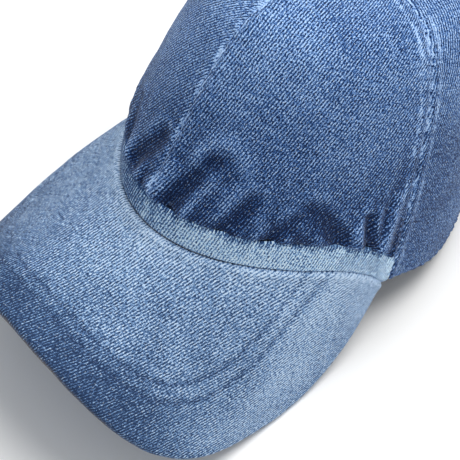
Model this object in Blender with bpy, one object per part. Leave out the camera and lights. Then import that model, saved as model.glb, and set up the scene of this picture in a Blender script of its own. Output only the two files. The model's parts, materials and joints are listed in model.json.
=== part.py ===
"""Denim baseball cap, lying on its visor and its back hem.

Six crown panels, a front band, a bent three-layer visor, sweatband, seam tapes, button, four eyelets and an
adjusting strap with a cam clasp over the rear opening. Everything is shaped in the cap's own frame (level
hem, visor towards -Y, wearer's left at +X) and the whole cap is then tipped back until it stands on z = 0.
"""
import math

import bmesh
import bpy
import numpy as np
from mathutils import Matrix, Vector

# ---- driving dimensions, in metres and degrees ------------------------------------------------------
HALF_WIDTH = 0.074          # hem, centre to side
FRONT_REACH = 0.106         # hem, centre to front
BACK_REACH = 0.090          # hem, centre to back
PLAN_POWER = 1.95           # 2 is an ellipse, less is more pointed
CLOTH = 0.0012              # denim
GAP = 0.0004                # between pieces that touch
SEAM_GAP = 0.0004

HEM_FRONT = 0.0197          # height of the hem over the visor's middle
HEM_SIDE = -0.0011          # at the visor's ends
HEM_BACK = -0.0078          # from the sides to the back
HEM_BEND = 5.0              # how suddenly the hem dips at the visor's ends
BAND_HEIGHT = 0.016
BAND_CLOTH = 0.0014

CROWN_TOP = 0.136
APEX_Y = -0.003
SHOULDER = 0.36             # a small value keeps the walls upright for longer
RISE = 1.12
FRONT_LEAN = -0.063         # the walls' hollow (-) or bulge (+) half way up
SIDE_LEAN = -0.030
TOP_HOLE = 0.0035           # radius left open for the button's shank
ROW_CROWDING = 1.4          # how soon a raised bottom edge stops moving the rows above it

SIDE_SEAM = 81.5            # degrees from the front
REAR_SEAM = 131.0

VISOR_END = 79.4            # degrees from the front
VISOR_HALF_WIDTH = 0.0833
VISOR_FRONT = -0.1754
VISOR_WIDEST_Y = -0.0913
VISOR_POWER = 2.67
EDGE_FRONT = -0.012         # height of the visor's edge at the front
EDGE_SIDE = -0.060          # and at its widest
EDGE_POWER = 2.57
VISOR_HOLLOW = -0.006       # sag of the visor between its hem and its edge
SWELL_OUT = 0.008           # how far the visor's sides swell between hem and edge
SWELL_UP = 0.003
SWELL_WAY = 0.54            # where along the half edge, and over how much of it
SWELL_WIDTH = 0.14
SWELL_LEFT = 0.35           # share of the swell on the wearer's left
VISOR_LAST_WAY = 0.990      # share of the half edge that the visor keeps before its ends close
UNDER_LAST_WAY = 0.975      # the same for the lower cover and for the board, which stop a little earlier
BOARD_LAST_WAY = 0.925
BOARD_INSET = 0.0012        # the board's distance from the sewn edge and from the hem
VISOR_HEM_GAP = 0.0006      # between the crown's hem and the visor, measured outwards
BOARD = 0.0020
UNDER_CLOTH = 0.0010

ARCH_HALF_WIDTH = 0.045
ARCH_HEIGHT = 0.054
FACING_WIDTH = 0.008

SWEATBAND_HEIGHT = 0.030
SWEATBAND_CLOTH = 0.0014
SWEATBAND_DEPTH = 0.0020
SWEATBAND_END = 128.0
TAPE_WIDTH = 0.009
TAPE_CLOTH = 0.0006
TAPE_DEPTH = 0.0023
TAPE_TOP_RADIUS = 0.015

BUTTON_RADIUS = 0.0072
BUTTON_HEIGHT = 0.0046
SHANK_RADIUS = 0.0016
RIVET_RADIUS = 0.006
RIVET_THICKNESS = 0.001
SHANK_LENGTH = 0.0022       # into the button
EYELET_RADIUS = 0.0042      # outside of the stitched ring
EYELET_HOLE = 0.0020
EYELET_PROUD = 0.0004       # of the cloth, on each side
EYELET_REACH = 0.062        # distance of the eyelets from the crown's axis

STRAP_HEIGHT = 0.016
STRAP_LIFT = 0.0100         # above the back hem
STRAP_CLOTH = 0.0022
STRAP_START = -60.0         # degrees from the middle of the back, wearer's right is negative
STRAP_END = 58.0
TAB_CLOTH = 0.0018
TAB_HEIGHT = 0.0150
TAB_ROOT = 54.0
TAB_CLEARANCE = 0.0020      # inside the back panel, whose wall leans in above the hem
TAB_LOOP_CLOTH = 0.0010     # one layer round the clasp's bar
CLASP_ANGLE = 17.0
CLASP_HALF_LENGTH = 0.0065
PLATE = 0.0012
PLATE_CLEARANCE = 0.0006    # behind the strap
PIN_RADIUS = 0.0008
PIN_CLEARANCE = 0.0003
PIN_HEAD = 0.0004           # how far a head stands out round the pin
PIN_HEAD_HEIGHT = 0.0005
PIN_X = -0.0042             # from the clasp's middle, along the strap
PIN_Y = 0.0027              # outwards from the strap's outer face
BARREL_RADIUS = 0.0020
CAM_RADIUS = 0.0024
CAM_START = 225             # degrees round the pin where the cam bears on the strap
CAM_END = 300
BAR_RADIUS = 0.0010
BAR_X = 0.0098
BAR_Y = 0.0032
EAR_MARGIN = 0.0012         # of the ears round the pin and the bar
EAR_CLEARANCE = 0.0006      # above and below the strap

# ---- values worked out from them --------------------------------------------------------------------
ARCH_FOOT_Y = BACK_REACH * (1 - (ARCH_HALF_WIDTH / HALF_WIDTH) ** PLAN_POWER) ** (1 / PLAN_POWER)
ARC_SAGITTA = BACK_REACH - ARCH_FOOT_Y
ARC_RADIUS = (ARCH_HALF_WIDTH ** 2 + ARC_SAGITTA ** 2) / (2 * ARC_SAGITTA)
ARC_CENTRE = Vector((0.0, BACK_REACH - ARC_RADIUS, 0.0))
TAB_OUTER = ARC_RADIUS - CLOTH - TAB_CLEARANCE
STRAP_OUTER = TAB_OUTER - TAB_CLOTH - GAP
STRAP_INNER = STRAP_OUTER - STRAP_CLOTH
STRAP_BOTTOM = HEM_BACK + STRAP_LIFT
STRAP_TOP = STRAP_BOTTOM + STRAP_HEIGHT
STRAP_MIDDLE = (STRAP_BOTTOM + STRAP_TOP) / 2
TAPE_BOTTOM = SWEATBAND_HEIGHT + 0.003
EAR_INSIDE = STRAP_HEIGHT / 2 + EAR_CLEARANCE
EAR_OUTSIDE = EAR_INSIDE + PLATE


def clear_scene():
    for old in list(bpy.data.objects):
        bpy.data.objects.remove(old, do_unlink=True)


def material(name, colour, roughness, metallic=0.0):
    made = bpy.data.materials.new(name)
    made.use_nodes = True
    shader = made.node_tree.nodes["Principled BSDF"]
    shader.inputs["Base Color"].default_value = (*colour, 1.0)
    shader.inputs["Roughness"].default_value = roughness
    shader.inputs["Metallic"].default_value = metallic
    return made


def add_object(name, mesh_data, finish, parent):
    made = bpy.data.objects.new(name, mesh_data)
    bpy.context.scene.collection.objects.link(made)
    made.data.materials.append(finish)
    made.parent = parent
    return made


def finish_mesh(name, work, smooth_angle=40.0):
    """Close the bmesh off into a mesh whose faces point outwards."""
    bmesh.ops.recalc_face_normals(work, faces=work.faces)
    if work.calc_volume(signed=True) < 0:
        bmesh.ops.reverse_faces(work, faces=work.faces)
    mesh_data = bpy.data.meshes.new(name)
    work.to_mesh(mesh_data)
    work.free()
    mesh_data.shade_smooth()
    mesh_data.set_sharp_from_angle(angle=math.radians(smooth_angle))
    return mesh_data


def loft(name, sections):
    """Skin a row of closed sections; each section runs out along one side and back along the other."""
    work = bmesh.new()
    rings = [[work.verts.new(point) for point in section] for section in sections]
    count = len(sections[0])
    for ring, following in zip(rings, rings[1:]):
        for index in range(count):
            after = (index + 1) % count
            work.faces.new((ring[index], ring[after], following[after], following[index]))
    for ring in (rings[0], rings[-1]):
        for index in range(count // 2 - 1):
            opposite = count - 1 - index
            work.faces.new((ring[index], ring[index + 1], ring[opposite - 1], ring[opposite]))
    return finish_mesh(name, work)


def turned(name, profile, segments):
    """Spin a profile of (radius, height) points, which starts and ends on the axis, about +Z."""
    work = bmesh.new()
    points = [work.verts.new((radius, 0.0, height)) for radius, height in profile]
    edges = [work.edges.new(pair) for pair in zip(points, points[1:])]
    bmesh.ops.spin(work, geom=points + edges, cent=(0, 0, 0), axis=(0, 0, 1), angle=2 * math.pi,
                   steps=segments, use_duplicate=False)
    bmesh.ops.remove_doubles(work, verts=work.verts, dist=1e-6)
    return finish_mesh(name, work, 50.0)


def extruded(name, outline, low, high):
    """Raise a plan outline of (x, y) points from height low to height high."""
    work = bmesh.new()
    floor = [work.verts.new((x, y, low)) for x, y in outline]
    roof = [work.verts.new((x, y, high)) for x, y in outline]
    work.faces.new(floor)
    work.faces.new(roof)
    for index in range(len(outline)):
        after = (index + 1) % len(outline)
        work.faces.new((floor[index], floor[after], roof[after], roof[index]))
    return finish_mesh(name, work)


def upright_cylinder(name, centre, radius, low, high, segments=20):
    outline = []
    for step in range(segments):
        angle = 2 * math.pi * step / segments
        outline.append((centre[0] + radius * math.cos(angle), centre[1] + radius * math.sin(angle)))
    return extruded(name, outline, low, high)


def boolean(target, tool, operation):
    cut = target.modifiers.new(operation.lower() + "_" + tool.name, "BOOLEAN")
    cut.operation = operation
    cut.solver = "EXACT"
    cut.object = tool
    tool.hide_render = True
    tool.display_type = "WIRE"


# ---- the hem and the crown's outer surface ----------------------------------------------------------

def plan_radius(theta):
    """Distance of the hem from the cap's axis, theta from the front towards the wearer's left."""
    reach = FRONT_REACH if math.cos(theta) >= 0 else BACK_REACH
    across = abs(math.sin(theta) / HALF_WIDTH) ** PLAN_POWER
    along = abs(math.cos(theta) / reach) ** PLAN_POWER
    return (across + along) ** (-1 / PLAN_POWER)


def smoothstep(value):
    value = min(max(value, 0.0), 1.0)
    return value * value * (3 - 2 * value)


def hem_height(theta):
    end = math.radians(VISOR_END)
    turn = abs(theta)
    if turn <= end:
        return HEM_FRONT + (HEM_SIDE - HEM_FRONT) * (turn / end) ** HEM_BEND
    return HEM_SIDE + (HEM_BACK - HEM_SIDE) * smoothstep((turn - end) / (math.pi - end) * 2.5)


def hem(theta):
    radius = plan_radius(theta)
    return Vector((radius * math.sin(theta), -radius * math.cos(theta), hem_height(theta)))


def meridian_shape(psi):
    """Share of the hem's radius and share of the height, at angle psi up the crown."""
    return math.cos(psi) ** SHOULDER, math.sin(psi) ** RISE


def meridian_table(count=600):
    """Angles up the crown against the share of the way from the band to the apex."""
    angles = [math.pi / 2 * (1 - (1 - step / count) ** 3) for step in range(count)]
    spots = [meridian_shape(psi) for psi in angles]
    away = [0.0]
    for before, after in zip(spots, spots[1:]):
        across = (after[0] - before[0]) * FRONT_REACH
        upward = (after[1] - before[1]) * CROWN_TOP
        away.append(away[-1] + math.hypot(across, upward))
    return np.array(away) / away[-1], np.array(angles), away[-1]


MERIDIAN_SHARES, MERIDIAN_ANGLES, MERIDIAN_LENGTH = meridian_table()


def crown_point(theta, level):
    """Level -1 is the hem, 0 the top of the front band and 1 the apex."""
    base = hem(theta)
    base.z += BAND_HEIGHT
    if level < 0:
        base.z += BAND_HEIGHT * level
        return base
    psi = float(np.interp(level, MERIDIAN_SHARES, MERIDIAN_ANGLES))
    width, height = meridian_shape(psi)
    lean = FRONT_LEAN * math.cos(theta) ** 2 + SIDE_LEAN * math.sin(theta) ** 2
    width *= 1 + lean * math.sin(2 * psi)
    y = APEX_Y + (base.y - APEX_Y) * width
    return Vector((base.x * width, y, base.z + (CROWN_TOP - base.z) * height))


def crown_offset(theta, level, depth):
    """The crown's surface, moved inwards by depth."""
    step = 1e-3
    level = min(level, 1 - 2 * step)
    along = crown_point(theta + step, level) - crown_point(theta - step, level)
    upward = crown_point(theta, level + step) - crown_point(theta, max(level - step, -1.0))
    return crown_point(theta, level) - along.cross(upward).normalized() * depth


def climb_of(level):
    """Length of cloth from the hem up to a level."""
    return BAND_HEIGHT * (level + 1) if level < 0 else BAND_HEIGHT + MERIDIAN_LENGTH * level


def level_of(climb):
    if climb < BAND_HEIGHT:
        return climb / BAND_HEIGHT - 1
    return (climb - BAND_HEIGHT) / MERIDIAN_LENGTH


def level_at_rise(theta, rise):
    """Level where the crown is this far above its hem."""
    if rise <= BAND_HEIGHT:
        return rise / BAND_HEIGHT - 1
    low, high = 0.0, 0.9
    for _ in range(30):
        middle = (low + high) / 2
        if crown_point(theta, middle).z - hem_height(theta) < rise:
            low = middle
        else:
            high = middle
    return low


def level_at_radius(theta, radius):
    """Level where the crown is this near its axis."""
    low, high = 0.3, 0.9995
    for _ in range(30):
        middle = (low + high) / 2
        spot = crown_point(theta, middle)
        if math.hypot(spot.x, spot.y - APEX_Y) > radius:
            low = middle
        else:
            high = middle
    return high


def strip_section(points_at, rows, outer_depth, inner_depth):
    """One closed section of a skin: up its outer face and down its inner face."""
    outer = [points_at(row, outer_depth) for row in rows]
    inner = [points_at(row, inner_depth) for row in reversed(rows)]
    return outer + inner


def panel(name, start, end, bottom_level, columns, rows):
    """A crown panel between two seams, angles in degrees, with a seam gap along both."""
    start, end = math.radians(start), math.radians(end)
    sections = []
    for share in columns:
        theta_here = start + (end - start) * share
        low = climb_of(bottom_level(theta_here))
        high = climb_of(level_at_radius(theta_here, TOP_HOLE))

        def spot(row, depth, share=share, low=low, high=high):
            level = level_of(high * row + low * (1 - row) ** ROW_CROWDING)
            edge = crown_point(start if share < 0.5 else end, level)
            turn = math.copysign(SEAM_GAP / 2 / math.hypot(edge.x, edge.y - APEX_Y), end - start)
            theta = start + turn + (end - start - 2 * turn) * share
            return crown_offset(theta, level, depth)

        sections.append(strip_section(spot, rows, 0.0, CLOTH))
    return loft(name, sections)


def even(count):
    return [step / count for step in range(count + 1)]


def band_top(theta):
    """Front panels stand on the front band."""
    return level_at_rise(theta, BAND_HEIGHT + GAP)


def side_bottom(theta):
    return -1.0


def arch_rise(across, margin=0.0):
    """Height of the rear opening's edge above the hem, this far from the middle."""
    share = min(abs(across) / (ARCH_HALF_WIDTH + margin), 1.0)
    return (ARCH_HEIGHT + margin) * math.sqrt(1 - share ** 2)


def back_bottom(theta):
    """Back panels are cut away over the rear opening."""
    across = hem(theta).x
    if abs(across) >= ARCH_HALF_WIDTH:
        return -1.0
    return level_at_rise(theta, arch_rise(across))


def angle_at_x(across):
    """Angle from the front at which the back hem is this far from the middle."""
    low, high = math.pi / 2, math.pi
    for _ in range(40):
        middle = (low + high) / 2
        if hem(middle).x > across:
            low = middle
        else:
            high = middle
    return low


def back_columns(beside=3, over=8):
    """Columns of the left back panel: even beside the opening, crowding towards the arch's foot over it."""
    start = math.radians(REAR_SEAM)
    foot = angle_at_x(ARCH_HALF_WIDTH)
    angles = [start + (foot - start) * step / beside for step in range(beside)]
    for step in range(over + 1):
        angles.append(angle_at_x(ARCH_HALF_WIDTH * math.cos(math.pi / 2 * step / over)))
    angles[-1] = math.pi
    return [(angle - start) / (math.pi - start) for angle in angles]


def make_crown(parent, denim):
    front_rows = even(16)
    made = {}
    rear = back_columns()
    for side, sign in (("left", 1), ("right", -1)):
        made["front_panel_" + side] = panel("front_panel_" + side, 0, sign * SIDE_SEAM, band_top,
                                            even(11), front_rows)
        made["side_panel_" + side] = panel("side_panel_" + side, sign * SIDE_SEAM, sign * REAR_SEAM,
                                           side_bottom, even(6), even(17))
        made["back_panel_" + side] = panel("back_panel_" + side, sign * REAR_SEAM, sign * 180, back_bottom,
                                           rear, even(17))
    return {name: add_object(name, mesh_data, denim, parent) for name, mesh_data in made.items()}


def crown_strip(name, angles, rows_at, outer_depth, thickness):
    """A curved strip that follows the crown's inside over a range of angles."""
    sections = []
    for theta in angles:
        rows = rows_at(theta)

        def spot(row, depth, theta=theta):
            return crown_offset(theta, row, depth)

        sections.append(strip_section(spot, rows, outer_depth, outer_depth + thickness))
    return loft(name, sections)


def make_front_band(parent, denim):
    end = math.radians(SIDE_SEAM) - SEAM_GAP / HALF_WIDTH
    angles = [end * (2 * share - 1) for share in even(36)]
    mesh_data = crown_strip("front_band", angles, lambda theta: [-1.0, -0.5, 0.0], 0.0, BAND_CLOTH)
    add_object("front_band", mesh_data, denim, parent)


def make_sweatband(parent, cotton):
    end = math.radians(SWEATBAND_END)
    angles = [end * (2 * share - 1) for share in even(40)]

    def rows_at(theta):
        top = level_at_rise(theta, SWEATBAND_HEIGHT)
        return [-0.95 + (top + 0.95) * share for share in even(3)]

    mesh_data = crown_strip("sweatband", angles, rows_at, SWEATBAND_DEPTH, SWEATBAND_CLOTH)
    add_object("sweatband", mesh_data, cotton, parent)


def make_tape(name, seam, bottom_rise, parent, cotton):
    """A flat tape inside the crown, centred on a seam."""
    theta = math.radians(seam)
    low = level_at_rise(theta, bottom_rise)
    high = level_at_radius(theta, TAPE_TOP_RADIUS)
    sections = []
    for share in even(20):
        level = low + (high - low) * share
        spot = crown_point(theta, level)
        half = TAPE_WIDTH / 2 / math.hypot(spot.x, spot.y - APEX_Y)
        turns = (theta - half, theta + half)
        outer = [crown_offset(turn, level, TAPE_DEPTH) for turn in turns]
        inner = [crown_offset(turn, level, TAPE_DEPTH + TAPE_CLOTH) for turn in reversed(turns)]
        sections.append(outer + inner)
    add_object(name, loft(name, sections), cotton, parent)


def make_tapes(parent, cotton):
    make_tape("tape_front", 0.0, TAPE_BOTTOM, parent, cotton)
    make_tape("tape_back", 180.0, ARCH_HEIGHT + FACING_WIDTH + 0.002, parent, cotton)
    for side, sign in (("left", 1), ("right", -1)):
        make_tape("tape_side_" + side, sign * SIDE_SEAM, TAPE_BOTTOM, parent, cotton)
        make_tape("tape_rear_" + side, sign * REAR_SEAM, TAPE_BOTTOM, parent, cotton)


def make_arch_facing(parent, cotton):
    """A strip inside the crown round the rear opening's arch, above the strap."""
    reach = math.acos((STRAP_LIFT + STRAP_HEIGHT + 0.004) / ARCH_HEIGHT)
    sections = []
    for share in even(26):
        lean = reach * (2 * share - 1)
        loop = []
        for depth, margins in ((TAPE_DEPTH, (0.0, 0.5, 1.0)), (TAPE_DEPTH + TAPE_CLOTH, (1.0, 0.5, 0.0))):
            for margin in margins:
                wide = margin * FACING_WIDTH
                across = (ARCH_HALF_WIDTH + wide) * math.sin(lean)
                theta = math.copysign(angle_at_x(abs(across)), across)
                level = level_at_rise(theta, (ARCH_HEIGHT + wide) * math.cos(lean))
                loop.append(crown_offset(theta, level, depth))
        sections.append(loop)
    add_object("arch_facing", loft("arch_facing", sections), cotton, parent)


def make_button(parent, denim, brass):
    """A domed shell over the hole at the apex, and the rivet whose shank reaches up into it."""
    rim = CROWN_TOP + GAP
    edge = 0.001                # upright part of the rim
    dome = []
    for step in range(9):
        angle = math.pi / 2 * step / 8
        height = rim + edge + (BUTTON_HEIGHT - edge) * math.cos(angle)
        dome.append((BUTTON_RADIUS * math.sin(angle), height))
    recess = SHANK_RADIUS + GAP
    roof = rim + SHANK_LENGTH + GAP
    profile = dome + [(BUTTON_RADIUS, rim), (recess, rim), (recess, roof), (0.0, roof)]
    shell = add_object("top_button", turned("top_button", profile, 32), denim, parent)
    shell.location.y = APEX_Y
    under = CROWN_TOP - CLOTH - GAP
    bottom = under - RIVET_THICKNESS
    tip = rim + SHANK_LENGTH
    profile = [(0.0, bottom), (RIVET_RADIUS, bottom), (RIVET_RADIUS, under), (SHANK_RADIUS, under),
               (SHANK_RADIUS, tip), (0.0, tip)]
    rivet = add_object("button_rivet", turned("button_rivet", profile, 24), brass, parent)
    rivet.location.y = APEX_Y


def make_eyelet(name, seams, panel_object, parent, thread):
    """A stitched ring set in a hole through the middle of a panel."""
    theta = math.radians((seams[0] + seams[1]) / 2)
    level = level_at_radius(theta, EYELET_REACH)
    outside = crown_offset(theta, level, 0.0)
    outward = (outside - crown_offset(theta, level, CLOTH)).normalized()
    centre = outside - outward * CLOTH / 2
    upright = outward.to_track_quat("Z", "Y")
    cutter_mesh = upright_cylinder(name + "_cut", (0, 0), EYELET_RADIUS + GAP, -0.01, 0.01, 16)
    cutter = add_object(name + "_cut", cutter_mesh, thread, parent)
    half = CLOTH / 2 + EYELET_PROUD
    middle = (EYELET_RADIUS + EYELET_HOLE) / 2
    work = bmesh.new()
    ring = []
    for step in range(6):
        angle = 2 * math.pi * step / 6
        spot = (middle + (EYELET_RADIUS - middle) * math.cos(angle), 0.0, half * math.sin(angle))
        ring.append(work.verts.new(spot))
    edges = [work.edges.new((ring[index], ring[(index + 1) % 6])) for index in range(6)]
    bmesh.ops.spin(work, geom=ring + edges, cent=(0, 0, 0), axis=(0, 0, 1), angle=2 * math.pi, steps=14)
    bmesh.ops.remove_doubles(work, verts=work.verts, dist=1e-6)
    eyelet = add_object(name, finish_mesh(name, work), thread, parent)
    for piece in (cutter, eyelet):
        piece.location = centre
        piece.rotation_mode = "QUATERNION"
        piece.rotation_quaternion = upright
    boolean(panel_object, cutter, "DIFFERENCE")


def make_eyelets(panels, parent, thread):
    """One in each side and back panel; the front panels have none."""
    spans = {"side": (SIDE_SEAM, REAR_SEAM), "back": (REAR_SEAM, 180.0)}
    for side, sign in (("left", 1), ("right", -1)):
        for place, span in spans.items():
            seams = (sign * span[0], sign * span[1])
            target = panels[place + "_panel_" + side]
            make_eyelet("eyelet_" + place + "_" + side, seams, target, parent, thread)


# ---- the visor --------------------------------------------------------------------------------------

def visor_outline(count=400):
    """Plan of the visor's edge from the wearer's right to the left, against the share of its length."""
    end = hem(math.radians(VISOR_END))
    wide = (end.x / VISOR_HALF_WIDTH) ** VISOR_POWER
    back = (1 - wide) ** (1 / VISOR_POWER)
    first = -math.atan2(math.sqrt(1 - wide), math.sqrt(wide))
    spots = []
    for step in range(count + 1):
        angle = math.pi - first + (2 * first - math.pi) * step / count
        across = VISOR_HALF_WIDTH * math.copysign(abs(math.cos(angle)) ** (2 / VISOR_POWER), math.cos(angle))
        ahead = abs(math.sin(angle)) ** (2 / VISOR_POWER)
        if math.sin(angle) > 0:
            y = VISOR_WIDEST_Y + (VISOR_FRONT - VISOR_WIDEST_Y) * ahead
        else:
            y = VISOR_WIDEST_Y + (end.y - VISOR_WIDEST_Y) / back * ahead
        spots.append((across, y))
    spots = np.array(spots)
    lengths = np.concatenate([[0.0], np.cumsum(np.hypot(*np.diff(spots, axis=0).T))])
    return spots, lengths / lengths[-1] * 2 - 1


OUTLINE, OUTLINE_SHARES = visor_outline()


def visor_point(way, out):
    """Way runs -1 to 1 from the wearer's right to the left, out 0 to 1 from the hem to the edge."""
    inner = hem(way * math.radians(VISOR_END))
    flat = Vector((inner.x, inner.y, 0.0))
    inner += flat.normalized() * VISOR_HEM_GAP
    inner.z -= GAP
    x = float(np.interp(way, OUTLINE_SHARES, OUTLINE[:, 0]))
    y = float(np.interp(way, OUTLINE_SHARES, OUTLINE[:, 1]))
    edge = EDGE_FRONT + (EDGE_SIDE - EDGE_FRONT) * abs(x / VISOR_HALF_WIDTH) ** EDGE_POWER
    ending = abs(way) ** 8
    outer = Vector((x, y, edge * (1 - ending) + HEM_SIDE * ending))
    spot = inner + (outer - inner) * out
    between = 4 * out * (1 - out)
    spot.z += VISOR_HOLLOW * between * (1 - way ** 2)
    swell = between * math.exp(-((abs(way) - SWELL_WAY) / SWELL_WIDTH) ** 2)
    if way > 0:
        swell *= SWELL_LEFT
    spot += (flat.normalized() * SWELL_OUT + Vector((0.0, 0.0, SWELL_UP))) * swell
    return spot


def visor_offset(way, out, depth):
    """The visor's upper surface, moved down through the visor by depth."""
    step = 1e-3
    low, high = max(out - step, 0.0), min(out + step, 1.0)
    along = visor_point(way + step, out) - visor_point(way - step, out)
    outward = visor_point(way, high) - visor_point(way, low)
    return visor_point(way, out) - outward.cross(along).normalized() * depth


def visor_layer(name, last_way, inset, top, bottom, hem_inset=0.0, lip=None, columns=46, rows=9):
    """One layer of the visor, drawn in from the edge by inset; a lip turns down over the layers below."""
    stations = [VISOR_LAST_WAY * math.sin(math.pi / 2 * (2 * share - 1)) for share in even(columns)]
    sections = []
    for way in stations:
        if abs(way) > last_way:
            continue
        length = (visor_point(way, 1.0) - visor_point(way, 0.0)).length
        edge = 1 - inset / length
        near = hem_inset / length
        upper = [visor_offset(way, near + (edge - near) * share, top) for share in even(rows)]
        under_edge = edge
        turned_down = []
        if lip is not None:
            under_edge = edge - CLOTH / length
            turned_down = [visor_offset(way, edge, lip), visor_offset(way, under_edge, lip)]
        returning = [near + (under_edge - near) * share for share in reversed(even(rows))]
        under = [visor_offset(way, out, bottom) for out in returning]
        sections.append(upper + turned_down + under)
    return loft(name, sections)


def make_visor(parent, denim, board_finish):
    board_top = CLOTH + 2 * GAP
    board_bottom = board_top + BOARD
    under_top = board_bottom + 2 * GAP
    under_bottom = under_top + UNDER_CLOTH
    inset = CLOTH + GAP
    top_mesh = visor_layer("visor_top_cover", VISOR_LAST_WAY, 0.0, 0.0, CLOTH, lip=under_bottom)
    add_object("visor_top_cover", top_mesh, denim, parent)
    board_edge = inset + BOARD_INSET
    board_mesh = visor_layer("visor_board", BOARD_LAST_WAY, board_edge, board_top, board_bottom, BOARD_INSET)
    add_object("visor_board", board_mesh, board_finish, parent)
    under_mesh = visor_layer("visor_under_cover", UNDER_LAST_WAY, inset, under_top, under_bottom)
    add_object("visor_under_cover", under_mesh, denim, parent)


# ---- the strap and its clasp ------------------------------------------------------------------------

def arc_spot(radius, degrees):
    """A point on an arc about the strap's axis; degrees from the back towards the wearer's left."""
    angle = math.radians(degrees)
    return radius * math.sin(angle), radius * math.cos(angle)


def make_strap(parent, denim):
    steps = 30
    turns = [STRAP_START + (STRAP_END - STRAP_START) * step / steps for step in range(steps + 1)]
    outline = [arc_spot(STRAP_OUTER, turn) for turn in turns]
    outline += [arc_spot(STRAP_INNER, turn) for turn in reversed(turns)]
    strap_mesh = extruded("adjust_strap", outline, STRAP_BOTTOM, STRAP_TOP)
    strap = add_object("adjust_strap", strap_mesh, denim, parent)
    strap.location = ARC_CENTRE


def clasp_matrix():
    """Clasp frame: x along the strap towards the wearer's left, y outwards, z up, y = 0 on the strap."""
    spot = ARC_CENTRE + Vector((*arc_spot(STRAP_OUTER, CLASP_ANGLE), STRAP_MIDDLE))
    return Matrix.Translation(spot) @ Matrix.Rotation(-math.radians(CLASP_ANGLE), 4, "Z")


def make_clasp_base(frame, parent, brass):
    """A plate behind the strap, an ear above and below it, and the bar that the tab loops round."""
    near_end = -CLASP_HALF_LENGTH
    far_end = BAR_X + EAR_MARGIN
    stations = [near_end + (far_end - near_end) * share for share in even(8)]
    behind = STRAP_OUTER - STRAP_CLOTH - PLATE_CLEARANCE
    upper = [(x, math.sqrt(behind ** 2 - x ** 2) - STRAP_OUTER) for x in stations]
    lower = [(x, y - PLATE) for x, y in reversed(upper)]
    base_mesh = extruded("clasp_base", upper + lower, -EAR_OUTSIDE, EAR_OUTSIDE)
    base = add_object("clasp_base", base_mesh, brass, parent)
    chamfer = 0.0002
    ear = [(near_end + chamfer, upper[0][1] - PLATE / 2), (far_end - 2 * chamfer, upper[-1][1] - PLATE / 2),
           (far_end + chamfer, BAR_Y - BAR_RADIUS), (far_end - chamfer, BAR_Y + EAR_MARGIN),
           (BAR_X - EAR_MARGIN, BAR_Y + EAR_MARGIN), (PIN_X + BARREL_RADIUS, PIN_Y + EAR_MARGIN),
           (PIN_X - EAR_MARGIN, PIN_Y + EAR_MARGIN), (near_end + chamfer, PIN_Y - EAR_MARGIN / 2)]
    bored = PIN_RADIUS + PIN_CLEARANCE
    bar_end = EAR_INSIDE + PLATE / 2
    through = 2 * EAR_OUTSIDE
    bar_mesh = upright_cylinder("clasp_bar", (BAR_X, BAR_Y), BAR_RADIUS, -bar_end, bar_end, 16)
    bore_mesh = upright_cylinder("clasp_bore", (PIN_X, PIN_Y), bored, -through, through)
    pieces = [
        ("clasp_ear_low", extruded("clasp_ear_low", ear, -EAR_OUTSIDE, -EAR_INSIDE), "UNION"),
        ("clasp_ear_high", extruded("clasp_ear_high", ear, EAR_INSIDE, EAR_OUTSIDE), "UNION"),
        ("clasp_bar", bar_mesh, "UNION"),
        ("clasp_bore", bore_mesh, "DIFFERENCE"),
    ]
    base.matrix_local = frame
    for name, mesh_data, operation in pieces:
        tool = add_object(name, mesh_data, brass, parent)
        tool.matrix_local = frame
        boolean(base, tool, operation)


def make_clasp_pin(frame, parent, brass):
    end = EAR_OUTSIDE + PIN_CLEARANCE
    tip = end + PIN_HEAD_HEIGHT
    head = PIN_RADIUS + PIN_HEAD
    profile = [(0.0, -tip), (head, -tip), (head, -end), (PIN_RADIUS, -end),
               (PIN_RADIUS, end), (head, end), (head, tip), (0.0, tip)]
    pin = add_object("clasp_pin", turned("clasp_pin", profile, 16), brass, parent)
    pin.matrix_local = frame @ Matrix.Translation((PIN_X, PIN_Y, 0.0))


def make_clasp_lever(frame, parent, brass):
    """A barrel on the pin with a cam over the strap, and a plate whose free end lifts outwards."""
    half = EAR_INSIDE - PIN_CLEARANCE
    tip = 0.0104                # from the pin to the end of the finger lip
    root = 0.004                # and to where the plate leaves the barrel
    thick = 0.0014
    lip = 0.0008                # how far the lip is turned up
    outline = []
    for degrees in range(60, 331, 15):
        angle = math.radians(degrees)
        radius = CAM_RADIUS if CAM_START <= degrees <= CAM_END else BARREL_RADIUS
        outline.append((radius * math.cos(angle), radius * math.sin(angle)))
    outline += [(root, 0.0), (tip - 0.0020, 0.0004), (tip, thick + lip), (tip - 0.0007, thick + 2 * lip),
                (tip - 0.0026, thick + 0.0002), (root, thick)]
    lever = add_object("clasp_lever", extruded("clasp_lever", outline, -half, half), brass, parent)
    through = 2 * EAR_OUTSIDE
    bore_mesh = upright_cylinder("lever_bore", (0, 0), PIN_RADIUS + PIN_CLEARANCE, -through, through)
    bore = add_object("lever_bore", bore_mesh, brass, parent)
    for piece in (lever, bore):
        piece.matrix_local = frame @ Matrix.Translation((PIN_X, PIN_Y, 0.0))
    boolean(lever, bore, "DIFFERENCE")


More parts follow.
